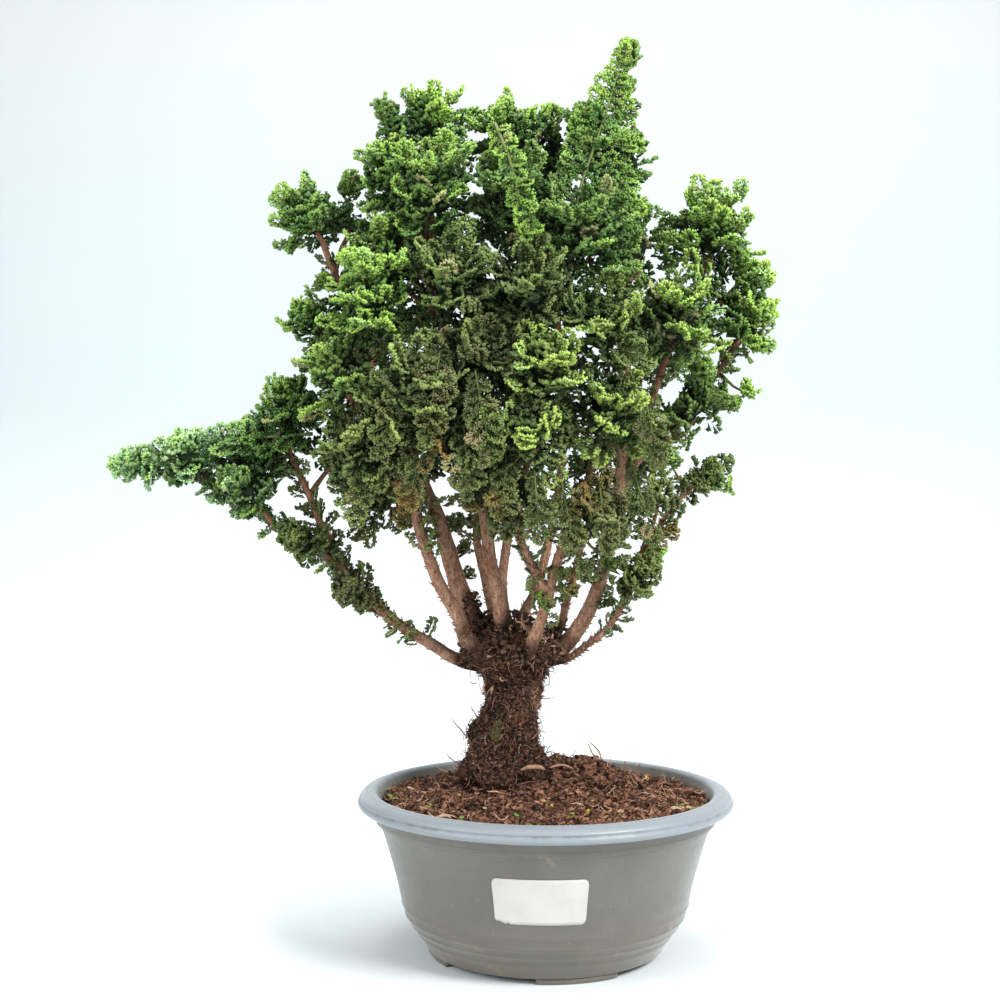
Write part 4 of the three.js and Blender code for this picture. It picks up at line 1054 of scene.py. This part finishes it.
def add_limb(batch, limb):
    route = LIMBS[limb][2]
    length = route_length(route)
    t = np.linspace(0, 1, int(length / LIMB_STEP))
    path = catmull_rom(route, t)
    sway = np.stack([noise(path, 16, 31 + k) for k in range(3)], -1)
    path = path + 0.5 * sway * np.sin(math.pi * t)[:, None]
    radius = limb_radius(limb, t) * (1 + 0.35 * np.exp(-t * length / 14))
    points, faces = tubes([path], [radius], LIMB_SIDES)
    outward = unit(points - np.repeat(path, LIMB_SIDES, axis=0))
    rough = 0.16 * layered_noise(points, 3.2, 3, 33) + 0.1 * noise(points, 0.9, 37)
    size = np.repeat(radius, LIMB_SIDES)
    swell = 0.07 * noise(points, 11, 39) * size
    points = points + outward * (rough * np.minimum(1.4, size / 3) + swell)[:, None]
    distance = np.linalg.norm(points - KNOB, axis=1)
    peaty = np.clip((PEATY_REACH - distance + 12 * noise(points, 9, 43)) / PEATY_FADE, 0, 1)
    batch.add(points, faces, peaty=peaty, young=np.clip(t * 1.1 - 0.15, 0, 1))


def add_stubs(batch, limb, random):
    """Small old scale stubs and flakes that stand off the bark."""
    route = LIMBS[limb][2]
    count = int(STUBS.get(limb, 1.0) * (40 + len(route) * 12))
    t = random.uniform(0.08, 0.97, count)
    ahead = heading_at(route, t, 0.01)
    out = random.normal(size=(count, 3))
    out = unit(out - (out * ahead).sum(1, keepdims=True) * ahead)
    foot = catmull_rom(route, t) + out * (limb_radius(limb, t) * 0.85)[:, None]
    lean = out + ahead * random.uniform(0.2, 1.4, (count, 1))
    tip = foot + lean * random.uniform(0.9, 2.7, (count, 1))
    batch.add(*clubs(tip, foot, out, random.uniform(1.0, 2.2, count)), young=0.75,
              bright=random.uniform(0, 0.5, count))


def limb_places(limb):
    return catmull_rom(LIMBS[limb][2], np.arange(LIMB_PLACES + 1) / LIMB_PLACES)


def twig_start(bough):
    places = limb_places(bough["limb"])
    if bough["is_last"]:
        return places[-1] - TWIG_OVERLAP * bough["axis"]
    behind = bough["foot"] - TWIG_SET_BACK * bough["axis"]
    return places[np.argmin(np.linalg.norm(places - behind, axis=1))]


def add_twig(batch, bough, random):
    start, foot = twig_start(bough), bough["foot"]
    t = np.linspace(0, 1, 8)[:, None]
    sag = np.linalg.norm(foot - start) * 0.08 * (random.random(3) - 0.5)
    to_foot = start + (foot - start) * t + sag * np.sin(math.pi * t)
    path = np.concatenate([to_foot, foot + bough["axis"] * bough["length"] * t[1:]])
    radius = np.concatenate([np.linspace(TWIG_RADIUS, STEM_RADIUS, 8), np.linspace(STEM_RADIUS, 0.5, 7)])
    points, faces = tubes([path], [radius], 6)
    outward = unit(points - np.repeat(path, 6, axis=0))
    batch.add(points + outward * (0.2 * noise(points, 2.2, 47))[:, None], faces, young=0.95)


def add_peat(batch, crumbly, random):
    """Peat crumbs, torn bark and hair roots on the trunk and round the limbs' feet."""
    def draw_angles(count):
        return random.random(count) * 2 * math.pi

    def add_crumbs(count, heights, outs, rise, sizes):
        places = fine_trunk(draw_angles(count), random.uniform(*heights, count), random.uniform(*outs, count))
        if rise:
            places[:, 2] += random.uniform(0, rise, count)
        crumbly.add(*crumbs(random, places, random.uniform(*sizes, count)),
                    peaty=random.uniform(0.5, 1.0, count))

    def draw_threads(places, lengths, widths, curl):
        count = len(places)
        return fibres(random, places, random.normal(size=(count, 3)), random.uniform(*lengths, count),
                      random.uniform(*widths, count), curl)

    def draw_clump(middle, spread, count, widest):
        return np.array(middle) + np.clip(random.normal(size=(count, 3)), -widest, widest) * spread

    add_crumbs(TRUNK_CRUMBS, (94, 178), (-0.6, 0.5), 0, (0.35, 1.0))
    add_crumbs(KNOB_CRUMBS, (150, 182), (-1, 1.6), 5, (0.5, 1.6))

    count = TRUNK_SLIVERS
    angle = draw_angles(count)
    feet = fine_trunk(angle, random.uniform(93, 182, count), -0.3)
    crumbly.add(*slivers(random, feet, polar(1, angle) + 0.9 * random.normal(size=(count, 3))),
                peaty=random.uniform(0.35, 1.0, count))

    for path, thickness in BARE_ROOTS:
        along = np.linspace(0, 1, 12)
        radii = thickness * (0.4 + 0.6 * np.sin(math.pi * along)) * (1 + 0.15 * np.sin(9 * along))
        batch.add(*tubes([catmull_rom(path, along)], [radii], 9), bright=0.25, young=0.5)

    for middle, spread, count in PEAT_CLUMPS:
        places = draw_clump(middle, spread, count, 1.6)
        crumbly.add(*crumbs(random, places, random.uniform(0.6, 1.8, count)),
                    peaty=random.uniform(0.7, 1.0, count))
        batch.add(*draw_threads(places, (3, 8), (0.13, 0.3), 1.0), peaty=random.uniform(0.1, 0.9, count))
    for middle, spread, count in BARK_CURLS:
        places = draw_clump(middle, spread, count, 1.5)
        batch.add(*draw_threads(places, (3, 7), (0.35, 0.8), 1.6), bright=random.uniform(0.2, 0.9, count))

    count = MOSS_CRUMBS
    angle = MOSS_ANGLE + random.normal(size=count) * 0.14
    places = fine_trunk(angle, MOSS_HEIGHT + random.normal(size=count) * 3.2, 0.4)
    crumbly.add(*crumbs(random, places, random.uniform(0.3, 0.8, count)), peaty=0.6,
                moss=random.uniform(0.2, 1.0, count))

    count = TRUNK_HAIRS
    angle = draw_angles(count)
    starts = fine_trunk(angle, random.uniform(92, 178, count), 0.2)
    heading = 0.25 * polar(1, angle) + 0.7 * random.normal(size=(count, 1)) * polar(1, angle + math.pi / 2)
    heading[:, 2] += random.choice([-1, 1], count) * random.uniform(0.2, 1.0, count)
    lengths, widths = random.uniform(3, 10, count), random.uniform(0.13, 0.32, count)
    batch.add(*fibres(random, starts, heading, lengths, widths, 1.0), peaty=random.uniform(0.1, 0.95, count))
    for start, heading, length, thickness in HAIR_ROOTS:
        batch.add(*fibres(random, [start], [heading], [length], [thickness], 0.9, steps=9), peaty=0.4)


def build_wood(boughs):
    random = np.random.default_rng(WOOD_SEED)
    batch, crumbly = (Batch(peaty=0.0, young=0.0, bright=0.0, moss=0.0) for _ in range(2))
    add_trunk(batch)
    for limb in LIMBS:
        add_limb(batch, limb)
        add_stubs(batch, limb, random)
    for bough in boughs:
        add_twig(batch, bough, random)
    add_peat(batch, crumbly, random)
    material = bark_material()
    piece("peat_crumbs", crumbly, material, smooth=False)
    piece("trunk_and_limbs", batch, material, ["wood"])


# ---- Foliage -------------------------------------------------------------------------------------

def bough_of(index):
    name, limb, foot, tip, reach, tiers = BOUGHS[index]
    foot, tip = np.array(foot, float), np.array(tip, float)
    length = np.linalg.norm(tip - foot)
    is_last = np.linalg.norm(foot - np.array(LIMBS[limb][2][-1], float)) < ENDS_MEET
    return dict(name=name, limb=limb, foot=foot, axis=(tip - foot) / length, length=length,
                reach=reach, tiers=tiers, index=index, is_last=is_last)


def tiers_of(bough):
    """The CAD model's tiers: a hub on the stem and the corners of the fans round it."""
    draw = draws_from(1000 + 97 * bough["index"])
    next(draw)
    tiers = []
    for tier in range(bough["tiers"]):
        height = tier / (bough["tiers"] - 1)
        hub = bough["foot"] + bough["axis"] * bough["length"] * (BARE_SHARE + (1 - BARE_SHARE) * height)
        turn = tier * GOLDEN_ANGLE + 2 * math.pi * next(draw)
        lift = LOWEST_LIFT + (HIGHEST_LIFT - LOWEST_LIFT) * height ** LIFT_BEND
        corners = []
        for corner in range(FANS * CORNERS):
            is_notch = corner % CORNERS == 0
            uneven = CORNER_JITTER * (next(draw) - 0.5)
            angle = turn + 2 * math.pi * (corner + uneven) / (FANS * CORNERS)
            share = NOTCH_SHARE if is_notch else SHORTEST_FAN + FAN_SPREAD * next(draw)
            radius = bough["reach"] * (1 - TIER_SHRINK * height) * share
            wave = -NOTCH_DROP if is_notch else EDGE_WAVE * (next(draw) - 0.3)
            out = round_axis(bough["axis"], angle)
            corners.append(hub + out * radius + bough["axis"] * radius * (lift + wave))
        tiers.append((height, hub, corners))
    return tiers


def turned(vectors, axes, angles):
    """Vectors turned round unit axes, one angle for each."""
    cos, sin = np.cos(angles)[..., None], np.sin(angles)[..., None]
    along = (vectors * axes).sum(-1, keepdims=True)
    return vectors * cos + np.cross(axes, vectors) * sin + axes * along * (1 - cos)


def clubs(feet, ends, up, widths):
    """Closed fingers that widen from a point at the foot to a blunt three-cornered end."""
    along = unit(ends - feet)
    side = unit(np.cross(up, along)) * widths[:, None] / 2
    over = np.cross(along, unit(side)) * widths[:, None] / 2
    points = np.stack([feet, ends + side - 0.5 * over, ends - side - 0.5 * over,
                       ends + 0.8 * over + 0.2 * widths[:, None] * along], 1)
    corners = np.array([(0, 1, 2), (0, 2, 3), (0, 3, 1), (1, 3, 2)])[None]
    faces = corners + (np.arange(len(feet)) * 4)[:, None, None]
    return points.reshape(-1, 3), [faces.reshape(-1, 3)]


def shell_template(random, laterals, forks, width):
    """One small cupped fan of blunt fingers, in its own frame: it spreads out along x and its face
    looks along z. Returns its points, its faces and how far each point is towards a finger's tip."""
    fingers = []
    hand = random.choice([-1, 1])
    count = len(laterals)
    for k, length in enumerate(laterals):
        hand = -hand
        angle = hand * (1.05 - 0.55 * k / count + random.normal(0, 0.07))
        length *= random.uniform(0.88, 1.12)
        x = 0.6 + 7.4 * k / count + random.uniform(-0.2, 0.2)
        fingers.append((x, 0.0, angle, length))
        for number, (share, size) in enumerate(forks):
            side = x + share * length * math.cos(angle), share * length * math.sin(angle)
            fork = hand * random.uniform(0.5, 0.85) * (-1 if number % 2 else 1)
            fingers.append((*side, angle + fork, size * length))
    fingers.append((7.4, 0.0, random.normal(0, 0.12), 3.2))
    x, y, angle, length = np.array(fingers).T
    count = len(fingers)
    far_x, far_y = x + length * np.cos(angle), y + length * np.sin(angle)
    cup_out, cup_across = random.uniform(0.0, 0.04), random.uniform(0.02, 0.06)
    uneven = random.normal(0, 0.3, count)
    feet = np.stack([x, y, cup_out * x ** 2 + cup_across * y ** 2 + 0.3 * uneven], -1)
    ends = np.stack([far_x, far_y, cup_out * far_x ** 2 + cup_across * far_y ** 2 + 1.4 * uneven], -1)
    up = np.stack([np.zeros(count), random.normal(0, 0.25, count), np.ones(count)], -1)
    points, faces = clubs(feet, ends, up, width * random.uniform(0.85, 1.15, count))
    # Each finger is darker towards its foot, and so are the fingers near the shell's foot: partly paler new
    # tips, partly painted shade.
    reach = np.hypot(far_x, far_y) / SHELL_LENGTH
    tip = (np.array([0.15, 1, 1, 1.1]) * (0.45 + 0.55 * reach)[:, None]).ravel()
    return points, faces, tip


def shell_templates(count, seed, laterals, forks, width):
    return [shell_template(np.random.default_rng(seed + k), laterals, forks, width) for k in range(count)]


FINE_SHELLS = shell_templates(20, FINE_SEED, (3.0, 3.8, 4.4, 4.7, 4.6, 4.2, 3.6),
                              ((0.3, 0.6), (0.5, 0.6), (0.75, 0.45)), FINGER_WIDTH)
PLAIN_SHELLS = shell_templates(8, PLAIN_SEED, (4.4, 5.2, 5.4, 5.0, 4.2), ((0.5, 0.6),), PLAIN_FINGER_WIDTH)


def in_opening(points, margin):
    """Which points would stand in an opening's way, or within a margin of it, as seen from the front."""
    nearer = CAMERA_PLACE[1] / (CAMERA_PLACE[1] - points[:, 1])
    across = CAMERA_PLACE[0] + (points[:, 0] - CAMERA_PLACE[0]) * nearer
    height = CAMERA_PLACE[2] + (points[:, 2] - CAMERA_PLACE[2]) * nearer
    inside = np.zeros(len(points), bool)
    for x, z, reach in OPENINGS:
        inside |= np.hypot(across - x, height - z) < reach + margin
    return inside


class Spray:
    """The shells of one piece of foliage. They are placed first and grown once all are known."""

    def __init__(self, name, replaces=()):
        self.name, self.replaces = name, replaces
        self.random = np.random.default_rng(sum(map(ord, name)) * 31 + len(name))
        self.batch = Batch(tip=0.0, fresh=0.0, old=0.0, tone=0.5, pale=0.0, rust=0.0, deep=0.0)
        self.rows = []

    def place(self, origin, out, up, size=1.0, fresh=0.5, old=0.0, rough=0.45, lift=0.25, inner=0.0):
        """Adds a shell, tilted up by about lift and rolled and turned at random by about rough."""
        self.rows.append([*origin, *out, *up, size, fresh, old, rough, lift, inner])

    def settle(self):
        """Turns the rows into each shell's frame."""
        random, rows = self.random, np.array(self.rows, float)
        rows = rows[~in_opening(rows[:, :3] + 0.5 * SHELL_LENGTH * unit(rows[:, 3:6]), SHELL_MARGIN)]
        self.origin, out, up = rows[:, 0:3], unit(rows[:, 3:6]), rows[:, 6:9]
        self.size, self.fresh, self.old, rough, lift, self.inner = (rows[:, k] for k in range(9, 15))
        count = len(rows)
        across = unit(np.cross(up, out) + 1e-6)
        out = turned(out, across, -lift + random.normal(0, 0.3, count) * rough / 0.45)
        up = np.cross(out, across)
        out = turned(out, up, random.normal(0, 0.5, count) * rough)
        across = turned(np.cross(up, out), out, random.normal(0, 1.0, count) * rough)
        self.frames = np.stack([out, across, np.cross(out, across)], 1)
        self.size = self.size * random.uniform(0.85, 1.15, count)
        self.middle = self.origin + out * (self.size * SHELL_LENGTH * 0.6)[:, None]

    def grow(self, shade, material):
        """Makes the piece. The light that reaches each shell is painted into its colour: what gets little
        is painted in shade, and what gets much, or faces up, gets fresh tips with painted highlights.
        """
        random, count = self.random, len(self.origin)
        lit, clearest = shade.light_at(self.middle)
        clump = noise(self.middle, 26, 71)
        # Painted light: shells that more light reaches, or that face up, get brighter tips.
        up = self.frames[:, 2, 2] * 0.5 + self.frames[:, 0, 2] * 0.5
        fresh = self.fresh * np.interp(lit, [0.06, 0.32], [0.0, 1.25]) + 0.32 * clump + 0.12 * up - 0.05
        fresh = np.clip(fresh + random.normal(0, 0.12, count), 0, 1) * np.interp(lit, [0.03, 0.15], [0, 1])
        old = np.clip(self.old * random.uniform(0.7, 1.2, count), 0, 1)
        # Painted shade: the less light reaches a shell, and on the inner shells, the darker it is painted.
        deep = np.clip(np.interp(lit, [0.02, 0.14], [0.55, 0.0]) + 0.3 * self.inner, 0, 1)
        rust = np.zeros(count)
        for x, z, reach in RUSTY:
            away = np.hypot(self.middle[:, 0] - x, self.middle[:, 2] - z) / reach
            rust = np.maximum(rust, np.clip(1.3 - away, 0, 1) * (random.random(count) < 0.4))
        rust *= np.clip(self.old * 1.6, 0, 1)
        tone, pale = random.random(count), (random.random(count) < 0.015) * 0.35
        tone = (0.25 + 0.75 * tone) * np.interp(self.middle[:, 0], [-180, -120], [0.35, 1.0])
        plain = (clearest < HIDDEN) | (self.inner > 0)
        kind = random.integers(0, 1000, count)
        for shells, chosen in ((FINE_SHELLS, ~plain), (PLAIN_SHELLS, plain)):
            for k, (shape, faces, tip) in enumerate(shells):
                here = np.flatnonzero(chosen & (kind % len(shells) == k))
                if not len(here):
                    continue
                frames = self.frames[here] * self.size[here, None, None]
                points = self.origin[here, None] + np.einsum("pk,nkc->npc", shape, frames)
                points = points - (np.maximum(0, points.max(1) - LEAF_BOX[1])
                                   + np.minimum(0, points.min(1) - LEAF_BOX[0]))[:, None]
                many = (np.arange(len(here)) * len(shape))[:, None, None]
                self.batch.add(points, [(part + many).reshape(-1, part.shape[1]) for part in faces],
                               tip=np.tile(tip, len(here)), fresh=fresh[here], old=old[here],
                               tone=tone[here], pale=pale[here], rust=rust[here], deep=deep[here])
        piece(self.name, self.batch, material, self.replaces)


class Shade:
    """How much light gets through the crown to a place, from the shells that stand round it."""

    def __init__(self, middles, sizes):
        self.low = middles.min(0) - 2 * SHADE_CELL
        shape = np.ceil((middles.max(0) - self.low) / SHADE_CELL).astype(int) + 3
        cells = np.zeros(shape)
        np.add.at(cells, tuple(((middles - self.low) / SHADE_CELL).astype(int).T), sizes ** 2)
        for axis in range(3):
            cells = 0.25 * np.roll(cells, 1, axis) + 0.5 * cells + 0.25 * np.roll(cells, -1, axis)
        self.cells = cells
        turns = np.arange(40) * GOLDEN_ANGLE
        rise = np.linspace(-0.55, 0.98, 40)
        flat = np.sqrt(1 - rise ** 2)
        self.ways = np.stack([flat * np.cos(turns), flat * np.sin(turns), rise], -1)

    def light_at(self, places):
        """The light from all ways, and from the clearest."""
        total, clearest = np.zeros(len(places)), np.zeros(len(places))
        for way in self.ways:
            met = np.zeros(len(places))
            for step in range(1, SHADE_REACH + 1):
                cell = ((places + way * SHADE_CELL * (step + 0.2) - self.low) / SHADE_CELL).astype(int)
                inside = np.all((cell >= 0) & (cell < self.cells.shape), axis=1)
                cell = np.clip(cell, 0, np.array(self.cells.shape) - 1)
                met += self.cells[tuple(cell.T)] * inside
            total += np.exp(-met)
            clearest = np.maximum(clearest, np.exp(-met))
        return total / len(self.ways), clearest


def bough_middle(bough):
    """The middle of a bough's leafy mass, and its radius across and along the stem."""
    return (bough["foot"] + bough["axis"] * bough["length"] * 0.62, bough["reach"] * CORE_REACH,
            0.42 * bough["length"] + 5)


def add_core(batch, bough):
    """The dense middle that the shells stand out of, coloured wholly as painted shade."""
    rows, columns = 9, 12
    side, across = square_to(bough["axis"])
    middle, radius, half = bough_middle(bough)
    latitude = np.linspace(0.08, 0.92, rows) * math.pi
    ring = polar(1, around(columns))[:, :2] @ [side, across]
    shape = (np.sin(latitude)[:, None, None] * ring * radius * CORE_WIDTH
             - np.cos(latitude)[:, None, None] * bough["axis"] * half * CORE_LENGTH)
    points = (middle + shape).reshape(-1, 3)
    points += unit(points - middle) * (3.0 * layered_noise(points, 5, 2, 61))[:, None]
    stem = middle + ((points - middle) @ bough["axis"])[:, None] * bough["axis"]
    points = np.where(in_opening(points, CORE_MARGIN)[:, None], stem + 0.12 * (points - stem), points)
    low = np.arange(columns)[None, ::-1]
    batch.add(points, [grid_faces(rows, columns), low, (rows - 1) * columns + low[:, ::-1]], deep=1.0)


def place_inner(spray, bough, look):
    """Covers the dark middle with plain shells."""
    middle, radius, half = bough_middle(bough)
    side, across = square_to(bough["axis"])
    count = int(4 * math.pi * radius * (radius + half) / 2 / INNER_AREA) + 8
    for k in range(count):
        rise = 2 * (k + 0.5) / count - 1
        turn = k * GOLDEN_ANGLE
        out = ((side * math.cos(turn) + across * math.sin(turn)) * math.sqrt(1 - rise ** 2) * radius
               + bough["axis"] * rise * half)
        spray.place(middle + out * 0.75, unit(out) + 0.35 * bough["axis"], bough["axis"] + 0.01 * side,
                    size=spray.random.uniform(0.85, 1.15), inner=1.0, **look)


def plan_bough(bough):
    narrowed = NARROWED.get(bough["name"], 1.0)
    bough = dict(bough, reach=bough["reach"] * narrowed)
    scale = 0.4 + 0.6 * narrowed
    spray = Spray("leaves_" + bough["name"], ["foliage_" + bough["name"]])
    random = spray.random
    fresh, old = LOOKS.get(bough["name"], USUAL_LOOK)
    add_core(spray.batch, bough)
    place_inner(spray, bough, dict(fresh=fresh * 0.5, old=old, rough=0.5, lift=0.1))
    for height, hub, corners in tiers_of(bough):
        is_top = height == 1
        look = dict(old=old, lift=0.12 + 0.3 * height - 0.5 * old, rough=0.45)
        for fan in range(FANS):
            left, right = corners[CORNERS * fan + 1], corners[CORNERS * fan + 2]
            edge_width = np.linalg.norm(right - left)
            reach = np.linalg.norm((left + right) / 2 - hub)
            rows = [share for share in (0.98, 0.68, 0.4) if is_top or share * reach > 0.55 * bough["reach"]]
            targets = []
            for share in rows:
                count = max(1, round(share * edge_width * SHELL_LENGTH * 0.8 / SHELL_AREA + 0.35))
                for k in range(count):
                    edge = left + (right - left) * ((k + random.uniform(0.25, 0.75)) / count)
                    targets.append(hub + (edge - hub) * share * random.uniform(0.93, 1.04))
            notches = (corners[CORNERS * fan], left), (corners[(CORNERS * (fan + 1)) % len(corners)], right)
            for notch, near in notches:
                targets.append(hub + ((notch + near) / 2 - hub) * random.uniform(0.95, 1.15))
            for target in targets:
                out = unit(target - hub)
                spray.place(target - out * SET_BACK * scale, out, bough["axis"],
                            fresh=fresh * (0.7 + 0.3 * height),
                            size=scale * random.uniform(0.9, 1.15), **look)
        if is_top:
            for k in range(TOP_SHELLS):
                away = round_axis(bough["axis"], k * GOLDEN_ANGLE)
                spray.place(hub - bough["axis"] * 2 + away * 2.5, bough["axis"] + 0.5 * away, -away,
                            fresh=fresh, size=scale, **look)
    return spray


def plan_fringe(limb):
    """Small old shells that clothe a limb."""
    start, end, spacing, size, fresh, old = FRINGES[limb]
    spray = Spray("fringe_" + limb)
    random = spray.random
    route = LIMBS[limb][2]
    count = int(route_length(route) * (end - start) / spacing)
    t = start + (end - start) * (np.arange(count) + random.random(count)) / count
    middle, ahead = catmull_rom(route, t), heading_at(route, t, 0.02)
    for k in range(count):
        away = round_axis(ahead[k], k * GOLDEN_ANGLE + random.normal(0, 0.3))
        out = away + ahead[k] * random.uniform(0.2, 1.1) - np.array([0, 0, 0.3 * old])
        spray.place(middle[k] + away * limb_radius(limb, t[k]) * 0.7, out, ahead[k],
                    size=size * random.uniform(0.7, 1.25), fresh=fresh, old=old, rough=0.7, lift=0.1)
    return spray


def plan_tufts(boughs):
    """Small clumps, each on a short twig from the nearest wood."""
    spray = Spray("limb_tufts")
    wood = [limb_places(limb) for limb in LIMBS]
    for bough in boughs:
        start, end = twig_start(bough), bough["foot"] + bough["axis"] * bough["length"]
        wood.append(start + (end - start) * np.linspace(0, 1, 30)[:, None])
    wood = np.concatenate(wood)
    for place, count, size, fresh, old in TUFTS:
        place = np.array(place, float)
        if in_opening(place[None], SHELL_MARGIN)[0]:
            continue
        root = wood[np.argmin(np.linalg.norm(wood - place, axis=1))]
        sag = (0, 0, -0.08 * np.linalg.norm(place - root))
        twig = tubes([[root, (root + place) / 2 + sag, place]], [[1.0, 0.8, 0.5]], 5)
        spray.batch.add(*twig, old=1.0, rust=0.8, tip=0.4)
        for k in range(count):
            rise = 0.9 - 1.3 * (k + 0.5) / count
            turn = k * GOLDEN_ANGLE
            flat = math.sqrt(1 - rise ** 2)
            out = np.array([flat * math.cos(turn), flat * math.sin(turn), rise])
            spray.place(place - 2 * out, out, (0, 0, 1.0), size=size, fresh=fresh, old=old, rough=0.6)
    return spray


def plan_frond(name):
    """A long flat feather: side branches off a stem, each set with shells."""
    frond = FRONDS[name]
    route, facing = np.array(frond["route"], float), unit(frond["facing"])
    spray = Spray("frond_" + name)
    random = spray.random
    stations = np.linspace(0, 1, 24)
    stem = tubes([catmull_rom(route, stations)], [frond.get("stem", 1.1) * (1 - 0.68 * stations)], 6)
    spray.batch.add(*stem, tip=0.5, fresh=0.2, old=0.7, tone=0.8)
    hand = 1
    steps = int(route_length(route) / BRANCH_SPACING)
    for step in range(steps):
        t = (step + 0.5) / steps
        hand = -hand
        foot, ahead = catmull_rom(route, [t])[0], heading_at(route, [t], 0.03)[0]
        beside = unit(np.cross(facing, ahead)) * hand
        widths = frond["left"] if hand > 0 else frond["right"]
        reach = np.interp(t, np.linspace(0, 1, len(widths)), widths) * random.uniform(0.8, 1.12)
        branch = unit(beside + ahead * random.uniform(0.45, 0.8) - np.array([0, 0, frond["droop"]]))
        face = unit(facing - np.dot(facing, branch) * branch + 0.15 * random.normal(size=3))
        fresh = np.interp(t, [0, 1], frond["fresh"])
        end = foot + branch * reach + facing * random.normal(0, 2.0)
        branchlet = tubes([[foot, (foot + end) / 2, end]], [[0.6, 0.5, 0.3]], 3)
        spray.batch.add(*branchlet, tip=0.3, fresh=fresh * 0.5, old=0.3, tone=0.6)
        shells = max(1, int(reach / 5.2))
        for k in range(shells):
            share = (k + 0.2) / shells
            turn = 0.0 if k == shells - 1 else random.choice([-0.6, 0.6])
            out = turned(branch, face, np.array(turn))
            size = random.uniform(0.85, 1.1) * min(1, 0.35 + reach / 14)
            spray.place(foot + (end - foot) * share - out * 1.5, out, face, size=size,
                        fresh=fresh * (0.7 + 0.5 * share), old=frond["old"], rough=0.25, lift=0.08)
    tip_out = heading_at(route, [1], 0.05)[0]
    spray.place(route[-1] - tip_out * 8, tip_out, facing, size=0.9, fresh=frond["fresh"][1],
                old=frond["old"], rough=0.1, lift=0.0)
    return spray


def add_drapes():
    for number, ((x, y, z), lean, fall, reach) in enumerate(DRAPES):
        route = [(x, y + 10, z + 6), (x + 0.3 * lean, y, z - 0.2 * fall),
                 (x + 0.7 * lean, y - 3, z - 0.6 * fall), (x + lean, y - 3, z - fall)]
        widths = [0.6 * reach, reach, 0.9 * reach, 0.4 * reach]
        FRONDS["drape_%02d" % number] = dict(
            route=route, facing=(0, -1, 0.25), left=widths, right=widths, droop=0.45, fresh=(0.0, 0.2),
            old=0.8, stem=0.55)


def build_foliage(boughs):
    add_drapes()
    sprays = [plan_bough(bough) for bough in boughs]
    sprays += [plan_fringe(limb) for limb in FRINGES] + [plan_frond(name) for name in FRONDS]
    sprays.append(plan_tufts(boughs))
    for spray in sprays:
        spray.settle()
    shade = Shade(np.concatenate([spray.middle for spray in sprays]),
                  np.concatenate([spray.size for spray in sprays]))
    material = foliage_material()
    for spray in sprays:
        spray.grow(shade, material)


# ---- Stage, lights and camera --------------------------------------------------------------------

def build_stage():
    """A pale floor that sweeps up into a backdrop."""
    s = Shader("backdrop", 0.9)
    height = s.height()
    # Painted shade: the backdrop is painted darker as it rises from the floor up the sweep.
    colour = s.mix(s.span(height, 0.0, 0.4), (222, 227, 228), (197, 206, 208))
    s.give("Base Color", s.mix(s.span(height, 0.5, 1.0), colour, (204, 207, 209)))
    front, floor_depth, sweep, height, half = -3000.0, 900.0, 700.0, 2600.0, 4000.0
    turns = np.linspace(0, math.pi / 2, 24)[1:]
    rows = [(front, 0.0), (floor_depth, 0.0)]
    rows += [(floor_depth + sweep * math.sin(a), sweep * (1 - math.cos(a))) for a in turns]
    rows.append((floor_depth + sweep, height))
    batch = Batch()
    batch.add([[x, y, z] for y, z in rows for x in (-half, half)],
              [grid_faces(len(rows), 2, closed=False)])
    add_mesh("backdrop", batch, s.material)


def aim(thing, place, target):
    thing.location = place
    direction = np.array(target, float) - np.array(place, float)
    yaw = math.atan2(direction[1], direction[0]) - math.pi / 2
    pitch = math.atan2(direction[2], math.hypot(direction[0], direction[1]))
    thing.rotation_euler = (math.pi / 2 + pitch, 0, yaw)


def add_light(name, place, size, power):
    light = bpy.data.lights.new(name, "AREA")
    light.shape, light.size, light.energy = "DISK", size, power
    aim(add_object(name, light), in_row(place), in_row(LIT_PLACE))


def build_lights():
    world = bpy.context.scene.world = bpy.data.worlds.new("studio")
    world.use_nodes = True
    background = world.node_tree.nodes["Background"]
    background.inputs["Color"].default_value = (0.90, 0.96, 1.0, 1)
    background.inputs["Strength"].default_value = 0.6
    add_light("key", (1150, -1100, 1400), 0.8, 50)
    add_light("fill", (-1300, -800, 800), 1.0, 15)
    add_light("top", (0, 200, 1800), 1.0, 24)
    bpy.context.scene.view_settings.view_transform = "Standard"


def build_camera():
    camera = bpy.data.cameras.new("camera")
    camera.lens, camera.sensor_width = CAMERA_LENS, CAMERA_SENSOR
    made = add_object("camera", camera)
    made.location = in_row(CAMERA_PLACE)
    made.rotation_euler = (math.pi / 2, 0, 0)
    camera.clip_start, camera.clip_end = 0.05, 50
    bpy.context.scene.camera = made


# ---- The whole -----------------------------------------------------------------------------------

build_camera()
build_lights()
build_stage()
build_pot()
build_label()
build_soil()
build_litter()
boughs = [bough_of(index) for index in range(len(BOUGHS))]
build_wood(boughs)
build_foliage(boughs)

bpy.context.view_layer.update()
